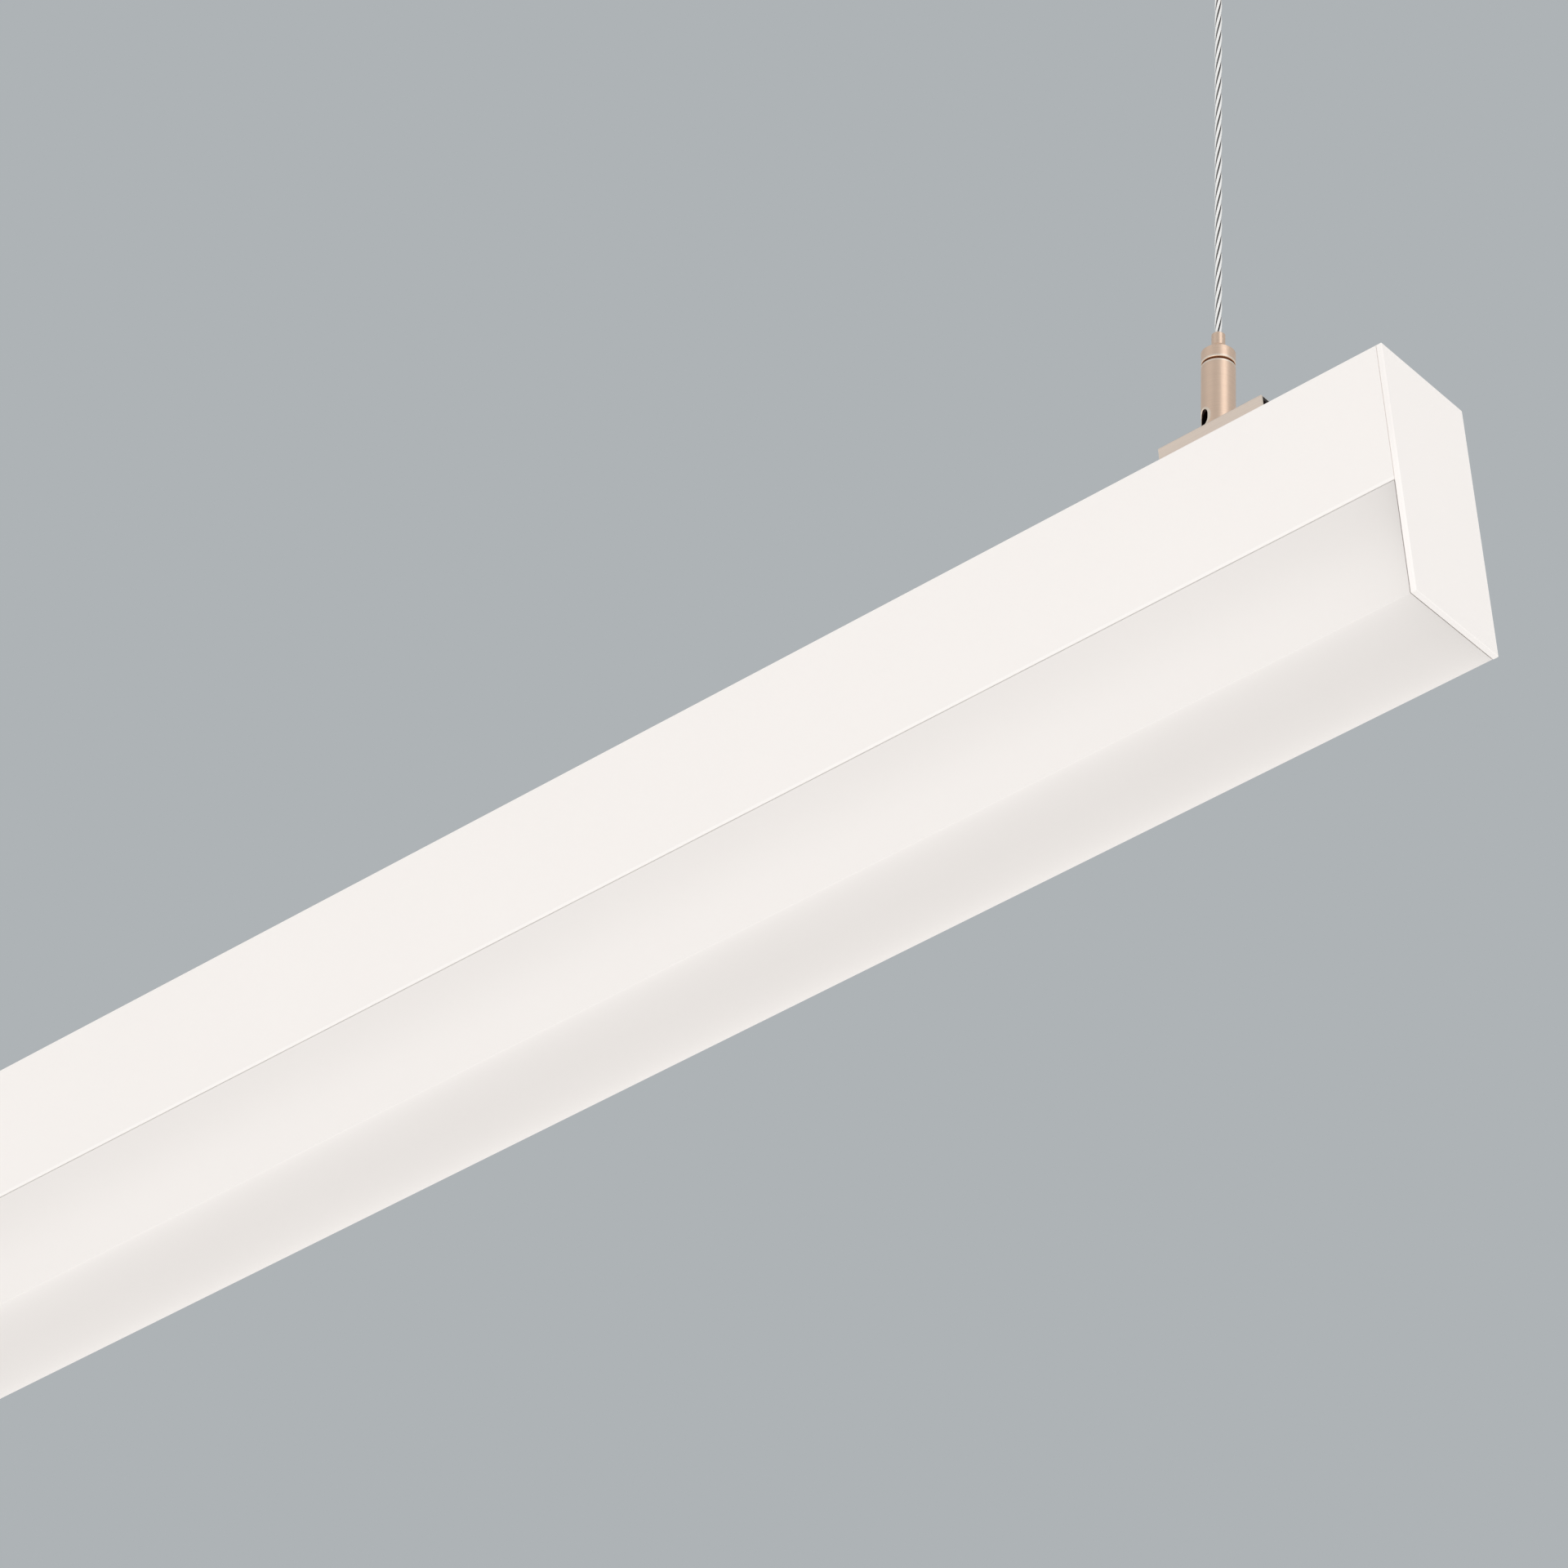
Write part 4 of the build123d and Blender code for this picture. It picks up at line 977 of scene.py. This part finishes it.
class PENDANT_OT_finish_gear(bpy.types.Operator):
    """Finish the tray, the driver, the terminals and the leads"""

    bl_idname = "pendant.finish_gear"
    bl_label = "Finish gear"

    def execute(self, context):
        colours = context.scene.pendant_colours
        zinc = {"base": colours.zinc, "shade": colours.zinc_shade}
        casing = {"base": colours.casing, "shade": colours.casing_shade}
        tray = brushed("galvanised sheet", roughness=0.42, axes=LENGTHWISE, overlay=spangle(colours), **zinc)
        dress(tray, "gear_tray")
        screws = brushed("zinc plated gear screws", roughness=0.4, **zinc)
        dress(screws, "driver_screws", "terminal_fixing_screw", "earth_screw")
        dress(coated("gear casing", roughness=0.5, **casing), "driver_case", "terminal_block")
        terminals = coated("grey terminal", colours.terminal, colours.terminal_shade, roughness=0.5)
        dress(terminals, "driver_input_terminal", "driver_output_terminal")
        brass = brushed("brass", colours.brass, colours.brass_shade, roughness=0.3)
        dress(brass, "earth_tag", "terminal_screws")
        rubber = coated("soft rubber", colours.rubber, colours.rubber_shade, roughness=0.8)
        dress(rubber, "lead_grommet", "gland_seal")
        mains = coated(
            "mains insulation",
            colours.brown,
            colours.brown_shade,
            roughness=0.4,
            overlay=mains_insulation(colours),
        )
        dress(mains, "mains_leads")
        leads = coated("board insulation", roughness=0.4, overlay=board_insulation(colours), **casing)
        dress(leads, "led_leads")
        return {"FINISHED"}


class PENDANT_OT_finish_gland(bpy.types.Operator):
    """Finish the cable gland"""

    bl_idname = "pendant.finish_gland"
    bl_label = "Finish gland"

    def execute(self, context):
        colours = context.scene.pendant_colours
        gland = coated("gland plastic", colours.gland, colours.gland_shade, roughness=0.5)
        dress(gland, "cable_gland", "gland_dome", "gland_lock_nut")
        return {"FINISHED"}


def stand(thing, from_place, aim, roll=0.0):
    """Put a camera or a lamp at a place, looking at its aim, turned about its line of sight."""
    bpy.context.scene.collection.objects.link(thing)
    look = (Vector(aim) - Vector(from_place)).to_track_quat("-Z", "Y").to_matrix().to_4x4()
    thing.matrix_world = Matrix.Translation(from_place) @ look @ Matrix.Rotation(roll, 4, "Z")


def place_camera(stage):
    """Camera at its place, looking at its aim and turned by its roll."""
    data = bpy.data.cameras.new("camera")
    data.sensor_width = SENSOR_WIDTH
    data.lens = stage.lens
    camera = bpy.data.objects.new("camera", data)
    stand(camera, stage.camera_place, stage.camera_aim, stage.camera_roll)
    bpy.context.scene.camera = camera


def hang_lamp(name, from_place, size, power):
    """Square softbox that faces the light."""
    data = bpy.data.lights.new(name, "AREA")
    data.size = size
    data.energy = power
    stand(bpy.data.objects.new(name, data), from_place, (cad_low + cad_high) / 2)


def light_world(stage):
    """World that lights evenly and shows the plain backdrop to the camera, to gloss and through glass."""
    world = bpy.data.worlds.new("studio")
    bpy.context.scene.world = world
    world.use_nodes = True
    tree = world.node_tree
    tree.nodes.clear()
    path = add(tree, "ShaderNodeLightPath").outputs
    seen = calc(tree, "MAXIMUM", path["Is Camera Ray"], path["Is Glossy Ray"])
    seen = calc(tree, "MAXIMUM", seen, path["Is Transmission Ray"])
    sky = add(tree, "ShaderNodeBackground", {"Color": (1, 1, 1, 1), "Strength": stage.sky})
    drop = add(tree, "ShaderNodeBackground", {"Color": (*stage.backdrop, 1)})
    mixed = add(tree, "ShaderNodeMixShader", {0: seen, 1: sky.outputs[0], 2: drop.outputs[0]})
    add(tree, "ShaderNodeOutputWorld", {"Surface": mixed.outputs[0]})


def lay_floor(stage):
    """Flat square floor below the light."""
    half, z = stage.floor_half, stage.floor_z
    mesh = bpy.data.meshes.new("floor")
    corners = [(-half, -half, z), (half, -half, z), (half, half, z), (-half, half, z)]
    mesh.from_pydata(corners, [], [(0, 1, 2, 3)])
    mesh.materials.append(coated("floor", stage.floor, stage.floor_shade, roughness=0.7, peel=40.0))
    floor = bpy.data.objects.new("floor", mesh)
    bpy.context.scene.collection.objects.link(floor)


class PENDANT_OT_set_stage(bpy.types.Operator):
    """Set the camera, the lamps, the world and the floor"""

    bl_idname = "pendant.set_stage"
    bl_label = "Set stage"

    def execute(self, context):
        stage = context.scene.pendant_stage
        context.scene.view_settings.view_transform = "Standard"
        place_camera(stage)
        light_world(stage)
        lay_floor(stage)
        hang_lamp("front softbox", stage.front_place, stage.front_size, stage.front_power)
        hang_lamp("side softbox", stage.side_place, stage.side_size, stage.side_power)
        hang_lamp("low softbox", stage.low_place, stage.low_size, stage.low_power)
        return {"FINISHED"}


OPERATORS = (
    PENDANT_OT_lay_wires,
    PENDANT_OT_wind_springs,
    PENDANT_OT_coat_body,
    PENDANT_OT_tint_diffuser,
    PENDANT_OT_finish_hangers,
    PENDANT_OT_finish_ceiling_fixings,
    PENDANT_OT_finish_boards,
    PENDANT_OT_finish_gear,
    PENDANT_OT_finish_gland,
    PENDANT_OT_set_stage,
)
GROUPS = {"pendant_wires": WireSizes, "pendant_colours": FinishColours, "pendant_stage": StageSettings}


class PENDANT_PT_panel(bpy.types.Panel):
    """Sizes, colours and steps of the pendant light"""

    bl_idname = "PENDANT_PT_panel"
    bl_label = "Pendant Light"
    bl_space_type = "VIEW_3D"
    bl_region_type = "UI"
    bl_category = "Pendant Light"

    def draw(self, context):
        for group, kind in GROUPS.items():
            for name in kind.__annotations__:
                self.layout.prop(getattr(context.scene, group), name)
        for operator in OPERATORS:
            self.layout.operator(operator.bl_idname)


CLASSES = (*GROUPS.values(), *OPERATORS, PENDANT_PT_panel)


def register():
    """Register the classes and hang the settings on the scene."""
    for kind in CLASSES:
        bpy.utils.register_class(kind)
    for name, kind in GROUPS.items():
        setattr(bpy.types.Scene, name, bpy.props.PointerProperty(type=kind))


def unregister():
    """Take the settings and the classes away again."""
    for name in GROUPS:
        delattr(bpy.types.Scene, name)
    for kind in reversed(CLASSES):
        bpy.utils.unregister_class(kind)


def main():
    """Run every step in order."""
    register()
    for operator in OPERATORS:
        group, step = operator.bl_idname.split(".")
        getattr(getattr(bpy.ops, group), step)()


if __name__ == "__main__":
    main()
